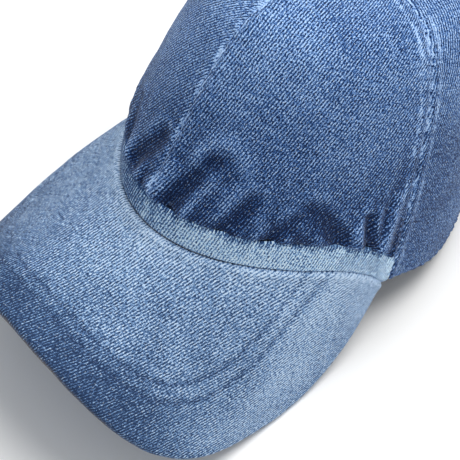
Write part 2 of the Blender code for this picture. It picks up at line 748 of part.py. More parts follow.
def make_clasp_tab(frame, parent, denim):
    """A denim tab from under the left back panel, with a sewn loop round the clasp's bar."""
    bar = frame @ Vector((BAR_X, BAR_Y, 0.0))
    bar -= ARC_CENTRE
    bar_turn = math.degrees(math.atan2(bar.x, bar.y))
    bar_reach = math.hypot(bar.x, bar.y)
    flat_reach = TAB_OUTER - TAB_CLOTH / 2
    start = bar_turn + 1.7      # degrees, just past the bar
    descent = 2.6               # the tab lies flat on its arc after 1 / 2.6 of its length
    outer, inner = [], []
    for share in even(14):
        turn = start + (TAB_ROOT - start) * share
        middle = bar_reach + (flat_reach - bar_reach) * smoothstep(share * descent)
        outer.append(arc_spot(middle + TAB_CLOTH / 2, turn))
        inner.append(arc_spot(middle - TAB_CLOTH / 2, turn))
    half = TAB_HEIGHT / 2
    low, high = STRAP_MIDDLE - half, STRAP_MIDDLE + half
    tab_mesh = extruded("clasp_tab", outer + inner[::-1], low, high)
    tab = add_object("clasp_tab", tab_mesh, denim, parent)
    bore = BAR_RADIUS + PIN_CLEARANCE
    loop_mesh = upright_cylinder("tab_loop", (bar.x, bar.y), bore + TAB_LOOP_CLOTH, low, high)
    loop = add_object("tab_loop", loop_mesh, denim, parent)
    hole_mesh = upright_cylinder("tab_hole", (bar.x, bar.y), bore, low - TAB_HEIGHT, high + TAB_HEIGHT)
    hole = add_object("tab_hole", hole_mesh, denim, parent)
    for piece in (tab, loop, hole):
        piece.location = ARC_CENTRE
    boolean(tab, loop, "UNION")
    boolean(tab, hole, "DIFFERENCE")


# ---- how the cap lies -------------------------------------------------------------------------------

def all_points():
    """Every visible vertex, in the cap's own frame."""
    depsgraph = bpy.context.evaluated_depsgraph_get()
    points = []
    for item in bpy.context.scene.objects:
        if item.type != "MESH" or item.hide_render:
            continue
        evaluated = item.evaluated_get(depsgraph)
        place = np.array(evaluated.matrix_world)
        mesh_data = evaluated.to_mesh()
        local = np.array([vertex.co[:] + (1.0,) for vertex in mesh_data.vertices])
        points.append((local @ place.T)[:, :3])
        evaluated.to_mesh_clear()
    return np.concatenate(points)


def resting_matrix(points):
    """Tip the nose up until the visor's sides and the back hem touch the same level, then centre the box."""
    low, high = 0.0, math.radians(40)
    for _ in range(50):
        tip = (low + high) / 2
        heights = points[:, 2] * math.cos(tip) - points[:, 1] * math.sin(tip)
        if heights[points[:, 1] < 0].min() < heights[points[:, 1] > 0].min():
            low = tip
        else:
            high = tip
    turn = Matrix.Rotation(-low, 4, "X")
    placed = points @ np.array(turn.to_3x3()).T
    middle = (placed.min(axis=0) + placed.max(axis=0)) / 2
    return Matrix.Translation((-middle[0], -middle[1], -placed[:, 2].min())) @ turn


def main():
    clear_scene()
    cap = bpy.data.objects.new("cap_frame", None)
    bpy.context.scene.collection.objects.link(cap)
    denim = material("denim", (0.085, 0.145, 0.275), 0.85)
    pale_denim = material("pale_denim", (0.14, 0.22, 0.37), 0.85)
    cotton = material("cotton", (0.06, 0.10, 0.19), 0.9)
    thread = material("thread", (0.12, 0.19, 0.33), 0.8)
    board_finish = material("board", (0.75, 0.75, 0.72), 0.5)
    brass = material("brass", (0.50, 0.36, 0.15), 0.4, 1.0)

    panels = make_crown(cap, denim)
    make_front_band(cap, pale_denim)
    make_sweatband(cap, cotton)
    make_tapes(cap, cotton)
    make_arch_facing(cap, cotton)
    make_button(cap, denim, brass)
    make_eyelets(panels, cap, thread)
    make_visor(cap, denim, board_finish)
    make_strap(cap, denim)
    frame = clasp_matrix()
    make_clasp_base(frame, cap, brass)
    make_clasp_pin(frame, cap, brass)
    make_clasp_lever(frame, cap, brass)
    make_clasp_tab(frame, cap, denim)

    bpy.context.view_layer.update()
    cap.matrix_world = resting_matrix(all_points())


main()
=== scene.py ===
"""Looks of a washed denim baseball cap that lies on its visor and its back hem.

Every piece is shaped in the cap's own frame (level hem, visor towards -Y, wearer's left at +X) with the same
surfaces as the CAD part, with gathers, seams, folds, worn patches and some painted light and shade added, and
then set down in the row frame.
"""
import json
import math

import bpy
import numpy as np
from mathutils import Matrix, Vector


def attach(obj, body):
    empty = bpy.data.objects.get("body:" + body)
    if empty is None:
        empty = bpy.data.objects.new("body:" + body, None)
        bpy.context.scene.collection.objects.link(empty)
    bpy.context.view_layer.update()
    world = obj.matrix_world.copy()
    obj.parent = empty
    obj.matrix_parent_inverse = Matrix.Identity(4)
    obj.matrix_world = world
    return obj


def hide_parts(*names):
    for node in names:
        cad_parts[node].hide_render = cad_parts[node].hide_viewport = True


MM = 0.001

# ---- the part's driving dimensions, in metres and degrees --------------------------------------------
HALF_WIDTH = 0.074
FRONT_REACH = 0.106
BACK_REACH = 0.090
PLAN_POWER = 1.95
CLOTH = 0.0012
GAP = 0.0004
HEM_FRONT = 0.0197
HEM_SIDE = -0.0011
HEM_BACK = -0.0078
HEM_BEND = 5.0
BAND_HEIGHT = 0.016
BAND_CLOTH = 0.0014
CROWN_TOP = 0.136
APEX_Y = -0.003
SHOULDER = 0.36
RISE = 1.12
FRONT_LEAN = -0.063
SIDE_LEAN = -0.030
TOP_HOLE = 0.0035
ROW_CROWDING = 1.4
SIDE_SEAM = 81.5
REAR_SEAM = 131.0
SEAMS = (0.0, SIDE_SEAM, -SIDE_SEAM, REAR_SEAM, -REAR_SEAM, 180.0)
VISOR_END = 79.4
VISOR_HALF_WIDTH = 0.0833
VISOR_FRONT = -0.1754
VISOR_WIDEST_Y = -0.0913
VISOR_POWER = 2.67
EDGE_FRONT = -0.012
EDGE_SIDE = -0.060
EDGE_POWER = 2.57
VISOR_HOLLOW = -0.006
SWELL_OUT = 0.008
SWELL_UP = 0.003
SWELL_WAY = 0.54
SWELL_WIDTH = 0.14
SWELL_LEFT = 0.35
VISOR_LAST_WAY = 0.990
VISOR_DEPTH = 0.0058
VISOR_ROLL = 0.0024
UNDER_CLOTH = 0.0010
UNDER_LAST_WAY = 0.975
VISOR_ALLOWANCE = (0.0048, 0.0034, 0.0020)      # depths below the visor's top
ARCH_HALF_WIDTH = 0.045
ARCH_HEIGHT = 0.054
FACING_WIDTH = 0.008
SWEATBAND_HEIGHT = 0.030
SWEATBAND_CLOTH = 0.0014
SWEATBAND_DEPTH = 0.0020
SWEATBAND_END = 128.0
TAPE_WIDTH = 0.009
TAPE_CLOTH = 0.0006
TAPE_DEPTH = 0.0023
TAPE_TOP_RADIUS = 0.015
TAPE_BOTTOM = 0.033
BUTTON_RADIUS = 0.0072
BUTTON_HEIGHT = 0.0046
EYELET_RADIUS = 0.0042
EYELET_HOLE = 0.0020
EYELET_REACH = 0.062
STRAP_HEIGHT = 0.016
STRAP_CLOTH = 0.0022
STRAP_START = -60.0
STRAP_END = 58.0
STRAP_BOTTOM = 0.0022
TAB_CLOTH = 0.0018
TAB_HEIGHT = 0.0150
TAB_ROOT = 54.0
TAB_CLEARANCE = 0.0020
CLASP_ANGLE = 17.0
BAR_X = 0.0098
BAR_Y = 0.0032
BAR_RADIUS = 0.0010

STITCH_ROWS = (0.0162, 0.0226)     # the visor's stitching, in from its edge
SEAM_TOPSTITCH = 0.0026            # the crown's stitching, beside each seam
GATHER_PITCH = 0.0062              # from one tight gather to the next, along the band
FOLD_PITCH = 0.0152                # the same for the loose folds above them
PUCKER_PITCH = 0.0068              # and for the puckers along a seam
FELL_EDGE = 0.0052                 # the rubbed edge of a felled seam, beside its groove
VISOR_STITCH_PITCH = 0.0033
VISOR_HEM_GAP = GAP + 0.0002       # between the crown's hem and the visor's inner edge
BAND_REVERSE = (0.09, 0.16, 0.31)
SIDES = (("left", 1), ("right", -1))
CAMERA_TURN = (38.61, 43.43, 16.23)         # azimuth, elevation and roll in the cap's frame
CAMERA_TARGET = (0.01247, -0.0565, 0.0)
CAMERA_DISTANCE = 0.98863
CAMERA_LENS = 163.67
CAMERA_SHIFT = -0.0080
LIT_SPOT = (0.0, 0.0, 0.05)                 # what the lights point at

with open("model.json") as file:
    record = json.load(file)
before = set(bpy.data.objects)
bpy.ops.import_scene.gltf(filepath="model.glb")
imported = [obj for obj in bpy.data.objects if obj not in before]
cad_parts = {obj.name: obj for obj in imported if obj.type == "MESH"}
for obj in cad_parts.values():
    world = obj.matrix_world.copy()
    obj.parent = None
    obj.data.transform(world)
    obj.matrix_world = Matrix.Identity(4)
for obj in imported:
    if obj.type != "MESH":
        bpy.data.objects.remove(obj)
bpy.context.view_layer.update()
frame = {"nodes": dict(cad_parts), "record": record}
RECORD = frame["record"]


def cap_matrix():
    """The cap's own frame in the row frame, from the mount at the head opening."""
    mount = next(m for m in RECORD["mounts"] if m["name"] == "head_opening")
    up = -Vector(mount["axis"]).normalized()
    right = Vector((1.0, 0.0, 0.0))
    back = up.cross(right).normalized()
    turn = Matrix((right, back, up)).transposed()
    return Matrix.Translation(mount["pos_m"]) @ turn.to_4x4()


CAP = cap_matrix()


# ---- small sums ----------------------------------------------------------------------------------------

def smooth(value):
    value = np.clip(value, 0.0, 1.0)
    return value * value * (3 - 2 * value)


def hump(off, width):
    """A rounded hump of height 1 where off is 0."""
    return np.exp(-(off / width) ** 2)


def noise(points, cell, seed, size=24):
    """Smooth noise from -1 to 1 at an array of 3-D points, with bumps about cell across."""
    table = np.random.default_rng(seed).uniform(-1, 1, (size, size, size))
    spot = np.asarray(points, float) / cell
    corner = np.floor(spot).astype(int)
    part = spot - corner
    part = part * part * (3 - 2 * part)
    total = 0.0
    for dx in (0, 1):
        for dy in (0, 1):
            for dz in (0, 1):
                wx = part[..., 0] if dx else 1 - part[..., 0]
                wy = part[..., 1] if dy else 1 - part[..., 1]
                wz = part[..., 2] if dz else 1 - part[..., 2]
                index = (corner + (dx, dy, dz)) % size
                total = total + wx * wy * wz * table[index[..., 0], index[..., 1], index[..., 2]]
    return total


def noise1(along, cell, seed, row=0.0):
    """The same along a line."""
    along = np.asarray(along, float)
    spot = np.stack([along, np.full_like(along, row * cell), np.zeros_like(along)], -1)
    return noise(spot, cell, seed)


# ---- the crown's surface -------------------------------------------------------------------------------

def hem_radius(theta):
    reach = np.where(np.cos(theta) >= 0, FRONT_REACH, BACK_REACH)
    across = np.abs(np.sin(theta) / HALF_WIDTH) ** PLAN_POWER
    along = np.abs(np.cos(theta) / reach) ** PLAN_POWER
    return (across + along) ** (-1 / PLAN_POWER)


def hem_height(theta):
    end = math.radians(VISOR_END)
    turn = np.abs(theta)
    front = HEM_FRONT + (HEM_SIDE - HEM_FRONT) * (np.minimum(turn, end) / end) ** HEM_BEND
    back = HEM_SIDE + (HEM_BACK - HEM_SIDE) * smooth((turn - end) / (math.pi - end) * 2.5)
    return np.where(turn <= end, front, back)


def meridian_table(count=600):
    angles = math.pi / 2 * (1 - (1 - np.arange(count) / count) ** 3)
    across = np.cos(angles) ** SHOULDER * FRONT_REACH
    upward = np.sin(angles) ** RISE * CROWN_TOP
    away = np.concatenate([[0.0], np.cumsum(np.hypot(np.diff(across), np.diff(upward)))])
    return away / away[-1], angles, away[-1]


SHARES, ANGLES, MERIDIAN_LENGTH = meridian_table()


def crown(theta, level):
    """Level -1 is the hem, 0 the top of the front band and 1 the apex."""
    theta, level = np.broadcast_arrays(np.asarray(theta, float), np.asarray(level, float))
    radius = hem_radius(theta)
    base = hem_height(theta) + BAND_HEIGHT
    psi = np.interp(level, SHARES, ANGLES)
    width = np.cos(psi) ** SHOULDER
    height = np.sin(psi) ** RISE
    lean = FRONT_LEAN * np.cos(theta) ** 2 + SIDE_LEAN * np.sin(theta) ** 2
    width = width * (1 + lean * np.sin(2 * psi))
    x = radius * np.sin(theta) * width
    y = APEX_Y + (-radius * np.cos(theta) - APEX_Y) * width
    z = base + (CROWN_TOP - base) * height + BAND_HEIGHT * np.minimum(level, 0.0)
    return np.stack([x, y, z], -1)


def unit(vectors):
    return vectors / np.maximum(np.linalg.norm(vectors, axis=-1, keepdims=True), 1e-12)


def run_length(points):
    """Distance travelled along a line of points."""
    return np.concatenate([[0.0], np.cumsum(np.linalg.norm(np.diff(points, axis=0), axis=1))])


def from_axis(spot):
    """Distance in plan from the crown's axis."""
    return np.hypot(spot[..., 0], spot[..., 1] - APEX_Y)


def halved(low, high, beyond, steps=30):
    """The ends of a span halved again and again; beyond says whether the answer lies above its middle."""
    for _ in range(steps):
        middle = (low + high) / 2
        above = beyond(middle)
        low, high = np.where(above, middle, low), np.where(above, high, middle)
    return low, high


def crown_normal(theta, level):
    step = 1e-3
    level = np.minimum(level, 1 - 2 * step)
    along = crown(theta + step, level) - crown(theta - step, level)
    upward = crown(theta, level + step) - crown(theta, np.maximum(level - step, -1.0))
    return unit(np.cross(along, upward))


def climb_of(level):
    level = np.asarray(level, float)
    return np.where(level < 0, BAND_HEIGHT * (level + 1), BAND_HEIGHT + MERIDIAN_LENGTH * level)


def level_of(climb):
    climb = np.asarray(climb, float)
    low = climb / BAND_HEIGHT - 1
    return np.where(climb < BAND_HEIGHT, low, (climb - BAND_HEIGHT) / MERIDIAN_LENGTH)


def level_at_rise(theta, rise):
    """Level where the crown is this far above its hem."""
    theta, rise = np.broadcast_arrays(np.asarray(theta, float), np.asarray(rise, float))
    level, _ = halved(np.zeros_like(theta), np.full_like(theta, 0.9),
                      lambda middle: crown(theta, middle)[..., 2] - hem_height(theta) < rise)
    return np.where(rise <= BAND_HEIGHT, rise / BAND_HEIGHT - 1, level)


def level_at_radius(theta, radius):
    """Level where the crown is this near its axis."""
    theta = np.asarray(theta, float)
    _, level = halved(np.full_like(theta, 0.3), np.full_like(theta, 0.9995),
                      lambda middle: from_axis(crown(theta, middle)) > radius)
    return level


def arc_table(count=721):
    """Length along the hem from the front, against the angle."""
    theta = np.linspace(-math.pi, math.pi, count)
    spots = crown(theta, -1.0)
    away = run_length(spots)
    return theta, away - away[count // 2]


ARC_THETA, ARC_AWAY = arc_table()


def hem_arc(theta):
    return np.interp(theta, ARC_THETA, ARC_AWAY)


def angle_at_x(across):
    """Angle from the front at which the back hem is this far from the middle."""
    across = np.asarray(across, float)
    angle, _ = halved(np.full_like(across, math.pi / 2), np.full_like(across, math.pi),
                      lambda middle: hem_radius(middle) * np.sin(middle) > across, 40)
    return angle


# ---- folds, gathers and seams --------------------------------------------------------------------------

# Folds in the gathered front: from (degrees, mm above the band) to (degrees, mm), half width and
# depth in mm. A negative depth is a ridge.
FOLDS = (
    (-9, 8, -4, 40, 4.5, 2.6),
    (6, 3, 12, 44, 4.2, 3.4),
    (0, 6, 3, 30, 3.5, -1.4),
    (14, 48, 18, 38, 6.0, 1.5),
    (20, 3, 26, 30, 4.5, 2.0),
    (33, 3, 38, 20, 4.0, 1.8),
    (54, 5, 43, 28, 5.5, 2.4),
    (66, 1, 63, 24, 3.4, 3.4),
    (72, 3, 75, 40, 3.8, -1.6),
    (-18, 4, -22, 32, 4.0, 2.0),
    (-32, 3, -38, 28, 5.0, 2.2),
    (-50, 3, -56, 26, 5.0, 2.0),
    (-66, 3, -70, 34, 5.0, 2.4),
)


def fold_depth(theta, rise):
    """Sum of the listed folds; along is measured on the band and rise above it, in mm."""
    along = hem_arc(theta) / MM
    rise = rise / MM
    total = np.zeros_like(along)
    for start, low, end, high, half, depth in FOLDS:
        a = np.array([float(hem_arc(math.radians(start))) / MM, low])
        b = np.array([float(hem_arc(math.radians(end))) / MM, high])
        way = b - a
        share = np.clip(((along - a[0]) * way[0] + (rise - a[1]) * way[1]) / (way @ way), 0, 1)
        off = np.hypot(along - a[0] - share * way[0], rise - a[1] - share * way[1])
        fade = 1 - 0.55 * share
        valley = hump(off, half) - 0.45 * hump(off - 1.7 * half, 0.8 * half)
        total -= depth * fade * valley
    return total * MM


def seam_distance(theta, radius):
    """Signed distance to the nearest seam, and which seam it is."""
    offs = []
    for seam in SEAMS:
        turn = (theta - math.radians(seam) + math.pi) % (2 * math.pi) - math.pi
        offs.append(turn * radius)
    offs = np.stack(offs, -1)
    nearest = np.abs(offs).argmin(-1)
    return np.take_along_axis(offs, nearest[..., None], -1)[..., 0], nearest


def gathers(along, warp):
    """The tight gathers where the crown meets the band, stronger in some places than in others."""
    strength = 0.35 + 0.65 * np.abs(noise1(along, 0.013, 9)) * 1.6
    return np.sin(2 * math.pi * warp / GATHER_PITCH) * strength


def crown_relief(theta, level):
    """Height of the cloth above the plain surface, and its tone: below 0 dark, above 0 pale; fading and
    rubbing, with painted light up top and painted shade low on the front.
    """
    base = crown(theta, level)
    climb = climb_of(level)
    rise = np.maximum(climb - BAND_HEIGHT, 0.0)
    along = hem_arc(theta)
    radius = from_axis(base)
    end = math.radians(SIDE_SEAM)
    front = smooth((end + 0.05 - np.abs(theta)) / 0.1)

    broad = 1.5 * MM * noise(base, 0.036, 3) + 0.7 * MM * noise(base, 0.017, 4)
    broad *= 0.35 + 0.65 * np.exp(-rise / 0.055)
    fine = 0.16 * MM * noise(base, 0.0065, 5) + 0.10 * MM * noise(base, 0.0034, 6)

    warp = along + 0.0026 * noise1(along, 0.011, 7) + rise * 0.25 * noise1(along, 0.02, 8)
    tight = gathers(along, warp)
    gather = 0.80 * MM * tight * np.exp(-rise / 0.0085) * (1 - np.exp(-rise / 0.0008))
    loose = np.sin(2 * math.pi * (warp + 0.004 * noise1(along, 0.03, 10)) / FOLD_PITCH)
    gather += 0.95 * MM * loose * np.exp(-rise / 0.022) * (1 - np.exp(-rise / 0.004))
    puff = 2.0 * MM * (1 - np.exp(-rise / 0.0028)) * np.exp(-rise / 0.030)
    tuck = -1.0 * MM * np.exp(-rise / 0.0012)
    folds = fold_depth(theta, rise)
    above_band = (gather + puff + tuck + folds) * front
    hem_pucker = 0.28 * MM * tight * np.exp(-climb / 0.010) * (1 - front)

    off, nearest = seam_distance(theta, radius)
    side = np.where(off >= 0, 1.0, -1.0)
    away = np.abs(off)
    groove = -0.45 * MM * hump(away, 0.0006)
    felled = 0.50 * MM * (1 + 0.35 * side) * hump(away - 0.0032, 0.0022)
    beat = climb + 0.0022 * noise1(climb + nearest * 0.3, 0.012, 11)
    pucker = np.sin(2 * math.pi * beat / PUCKER_PITCH + side * 0.9) * np.exp(-away / 0.0065)
    pucker *= 0.40 * MM * (0.5 + 0.8 * np.abs(noise1(climb + nearest * 0.3, 0.021, 12)))
    seams = groove + felled + pucker * smooth(climb / 0.006)

    fade = smooth((radius - 0.006) / 0.016)
    height = (broad + fine + above_band + hem_pucker + seams) * fade

    folded = gather * front + 0.95 * folds * front + pucker + 0.35 * broad
    wear_and_painted_light = 0.95 * np.clip(folded / (0.9 * MM), -1.6, 1.8) + 0.22 * noise(base, 0.022, 13)
    # Darker within a few cm above the band on the front panels: partly unfaded indigo in the gathers, partly
    # painted shade.
    wear_and_painted_light -= 1.25 * front * hump(rise, 0.034)
    # Painted light: paler higher up the crown, as if lit from above.
    wear_and_painted_light += 0.55 * smooth((rise - 0.055) / 0.060)
    speck = smooth((noise(base, 0.0016, 14) + 0.8 * noise1(climb + nearest * 0.3, 0.004, 15) + 0.05) / 0.6)
    wear_and_painted_light += (0.6 + 2.6 * speck) * hump(away - 0.0006, 0.0007)
    topstitched = np.where(nearest == 0, 0.3, 1.5)
    wear_and_painted_light += topstitched * hump(away - FELL_EDGE, 0.0010) * (0.3 + speck)
    return height, np.clip(wear_and_painted_light, -1.8, 2.6)


# ---- meshes --------------------------------------------------------------------------------------------

def make_object(name, points, faces, body, finish, cloth=None, tone=None):
    """A mesh in the row frame, from points in the cap's frame. Cloth holds the place on the flat cloth in mm,
    and tone three channels: fading and rubbing together with painted light and shade, the grey of a rubbed
    edge, and the pale reverse side."""
    place = np.array(CAP)
    points = np.asarray(points, float).reshape(-1, 3) @ place[:3, :3].T + place[:3, 3]
    data = bpy.data.meshes.new(name)
    data.from_pydata(points.tolist(), [], [tuple(int(i) for i in face) for face in faces])
    count = len(points)
    cloth = np.zeros((count, 3)) if cloth is None else np.asarray(cloth, float).reshape(-1, 3)
    tone = np.zeros((count, 3)) if tone is None else np.asarray(tone, float).reshape(-1, 3)
    for label, values in (("cloth", cloth), ("tone", tone)):
        layer = data.attributes.new(label, "FLOAT_VECTOR", "POINT")
        layer.data.foreach_set("vector", values.astype(np.float32).ravel())
    data.shade_smooth()
    data.materials.append(finish)
    made = bpy.data.objects.new(name, data)
    bpy.context.scene.collection.objects.link(made)
    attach(made, body)
    return made


def stand_for(made, node):
    """Let a piece take the place of a CAD node, which is hidden."""
    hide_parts(node)
    return made


def ring_quads(first, rings, count):
    """Quads from each of some rings of points to the next, numbered from first."""
    quads = []
    for start in range(first, first + rings * count, count):
        for step in range(count):
            a, b = start + step, start + (step + 1) % count
            quads.append((a, b, b + count, a + count))
    return quads


def shell(name, outer, normals, thickness, body, finish, cloth, wear_and_painted_light, keep=None, grey=None, bulge=0.35):
    """A closed skin from a grid of outer points, thickened inwards, with a rounded rim all round."""
    rows, columns = outer.shape[:2]
    inner = outer - normals * thickness
    total = rows * columns
    number = np.arange(total).reshape(rows, columns)
    keep = np.ones((rows - 1, columns - 1), bool) if keep is None else keep
    quads = []
    for row, column in zip(*np.nonzero(keep)):
        a, b = number[row, column], number[row, column + 1]
        c, d = number[row + 1, column + 1], number[row + 1, column]
        quads.append((a, b, c, d))
        quads.append((a + total, d + total, c + total, b + total))
    rim = np.concatenate([number[0, :-1], number[:-1, -1], number[-1, :0:-1], number[:0:-1, 0]])
    flat_outer = outer.reshape(-1, 3)
    flat_inner = inner.reshape(-1, 3)
    spots = flat_outer[rim]
    ahead = unit(np.roll(spots, -1, axis=0) - np.roll(spots, 1, axis=0))
    away = unit(np.cross(ahead, normals.reshape(-1, 3)[rim]))
    middle = (spots + flat_inner[rim]) / 2 + away * thickness * bulge
    start = 2 * total
    for index in range(len(rim)):
        after = (index + 1) % len(rim)
        a, b = rim[index], rim[after]
        quads.append((b, a, start + index, start + after))
        quads.append((start + after, start + index, a + total, b + total))
    points = np.concatenate([flat_outer, flat_inner, middle])
    cloth = np.asarray(cloth, float).reshape(-1, 3)
    wear_and_painted_light = np.asarray(wear_and_painted_light, float).reshape(-1)
    grey = np.zeros(total) if grey is None else np.asarray(grey, float).reshape(-1)
    outside = np.stack([wear_and_painted_light, grey, np.zeros(total)], -1)
    reverse = np.stack([wear_and_painted_light * 0.2, grey, np.ones(total)], -1)
    rims = np.stack([wear_and_painted_light[rim] + 0.35, grey[rim], np.zeros(len(rim))], -1)
    cloth_all = np.concatenate([cloth, cloth, cloth[rim]])
    return make_object(name, points, quads, body, finish, cloth_all, np.concatenate([outside, reverse, rims]))


def crowded(count, pull=0.55):
    """Shares from 0 to 1 that lie closer together near both ends."""
    share = np.linspace(0, 1, count)
    return share - pull * np.sin(2 * math.pi * share) / (2 * math.pi)


def panel_grid(start, end, bottom, shares, count):
    """Angles and levels of a crown panel, in rows from its bottom edge to the hole at the apex."""
    start, end = math.radians(start), math.radians(end)
    theta_here = start + (end - start) * shares
    low = climb_of(bottom(theta_here))
    high = climb_of(level_at_radius(theta_here, TOP_HOLE))
    row = np.linspace(0, 1, count)[:, None]
    level = level_of(high * row + low * (1 - row) ** ROW_CROWDING)
    edge = crown(np.where(shares < 0.5, start, end), level)
    turn = np.sign(end - start) * 0.00006 / from_axis(edge)
    return start + turn + (end - start - 2 * turn) * shares, level


def cloth_place(theta, level, middle):
    """Place on the flat cloth, in mm, across from the panel's middle and up from the hem."""
    spot = crown(theta, level)
    radius = from_axis(spot)
    return np.stack([(theta - middle) * radius, climb_of(level), np.zeros_like(radius)], -1) / MM


def open_eyelet(theta, level, points):
    """Draw the grid away from the eyelet's middle, and say which faces stay."""
    middle = (theta[0, 0] + theta[0, -1]) / 2
    place = level_at_radius(np.array([middle]), EYELET_REACH)[0]
    centre = crown(middle, place)
    off = np.linalg.norm(crown(theta, level) - centre, axis=-1)
    row, column = np.unravel_index(off.argmin(), off.shape)
    keep = np.ones((theta.shape[0] - 1, theta.shape[1] - 1), bool)
    keep[row - 1:row + 1, column - 1:column + 1] = False
    first, near = 0.0011, 0.007         # the grid's first ring of points, and how far the drawing reaches
    hole = EYELET_HOLE + 0.0005
    away = points - points[row, column]
    off_here = np.linalg.norm(away, axis=-1, keepdims=True)
    moved = hole + (off_here - first) * (near - hole) / (near - first)
    result = points[row, column] + away * np.where(off_here < near, moved / np.maximum(off_here, 1e-6), 1.0)
    result[row, column] = points[row, column]
    return result, keep


def crown_panel(name, start, end, bottom, shares, count, finish):
    theta, level = panel_grid(start, end, bottom, shares, count)
    height, wear_and_painted_light = crown_relief(theta, level)
    normals = crown_normal(theta, level)
    points = crown(theta, level) + normals * height[..., None]
    keep = None
    if not name.startswith("front"):
        points, keep = open_eyelet(theta, level, points)
    if end < start:
        theta, level, points, normals = theta[:, ::-1], level[:, ::-1], points[:, ::-1], normals[:, ::-1]
        wear_and_painted_light = wear_and_painted_light[:, ::-1]
        keep = None if keep is None else keep[:, ::-1]
    cloth = cloth_place(theta, level, math.radians(start + end) / 2)
    made = shell(name + "_denim", points, normals, CLOTH, "cap", finish, cloth, wear_and_painted_light, keep)
    return stand_for(made, name)


# ---- materials -----------------------------------------------------------------------------------------

class Nodes:
    """Short calls for building a node tree."""

    def __init__(self, name):
        self.material = bpy.data.materials.new(name)
        self.material.use_nodes = True
        self.tree = self.material.node_tree
        self.shader = self.tree.nodes["Principled BSDF"]

    def plug(self, value, socket):
        if isinstance(value, bpy.types.NodeSocket):
            self.tree.links.new(value, socket)
        else:
            socket.default_value = value

    def node(self, kind, output=0, settings=(), **inputs):
        made = self.tree.nodes.new("ShaderNode" + kind)
        for key, value in dict(settings).items():
            setattr(made, key, value)
        for key, value in inputs.items():
            self.plug(value, made.inputs[key.replace("_", " ")])
        return made.outputs[output]

    def maths(self, operation, *values, clamp=False):
        made = self.tree.nodes.new("ShaderNodeMath")
        made.operation = operation
        made.use_clamp = clamp
        for value, socket in zip(values, made.inputs):
            self.plug(value, socket)
        return made.outputs[0]

    def add_scaled(self, base, value, gain, centre=0.5):
        """base + gain * (value - centre)"""
        shifted = self.maths("SUBTRACT", value, centre)
        return self.maths("MULTIPLY_ADD", shifted, gain, base)

    def place(self, vector, angle=0.0, scale=(1, 1, 1)):
        return self.stretch(self.node("VectorRotate", Vector=vector, Angle=math.radians(angle)), scale)

    def stretch(self, vector, scale):
        made = self.tree.nodes.new("ShaderNodeVectorMath")
        made.operation = "MULTIPLY"
        self.plug(vector, made.inputs[0])
        made.inputs[1].default_value = scale
        return made.outputs[0]

    def noise(self, vector, scale, detail=2.0, roughness=0.5):
        return self.node("TexNoise", Vector=vector, Scale=scale, Detail=detail, Roughness=roughness)

    def ramp(self, value, stops):
        made = self.tree.nodes.new("ShaderNodeValToRGB")
        self.plug(value, made.inputs[0])
        elements = made.color_ramp.elements
        while len(elements) < len(stops):
            elements.new(0.5)
        for element, (spot, colour) in zip(elements, stops):
            element.position = spot
            element.color = (*colour, 1.0)
        return made.outputs[0]

    def mix(self, share, first, second):
        made = self.tree.nodes.new("ShaderNodeMix")
        made.data_type = "RGBA"
        self.plug(share, made.inputs[0])
        for value, socket in ((first, made.inputs[6]), (second, made.inputs[7])):
            if isinstance(value, bpy.types.NodeSocket):
                self.tree.links.new(value, socket)
            else:
                socket.default_value = (*value, 1.0)
        return made.outputs[2]

    def finish(self, colour, roughness, height=None, distance=0.0002, strength=0.5, metallic=0.0, sheen=0.0,
               specular=0.3):
        shader = self.shader
        self.plug(colour, shader.inputs["Base Color"])
        self.plug(roughness, shader.inputs["Roughness"])
        shader.inputs["Metallic"].default_value = metallic
        shader.inputs["Sheen Weight"].default_value = sheen
        shader.inputs["Sheen Roughness"].default_value = 0.4
        shader.inputs["Specular IOR Level"].default_value = specular
        if height is not None:
            bump = self.tree.nodes.new("ShaderNodeBump")
            bump.inputs["Distance"].default_value = distance
            bump.inputs["Strength"].default_value = strength
            self.tree.links.new(height, bump.inputs["Height"])
            self.tree.links.new(bump.outputs[0], shader.inputs["Normal"])
        return self.material


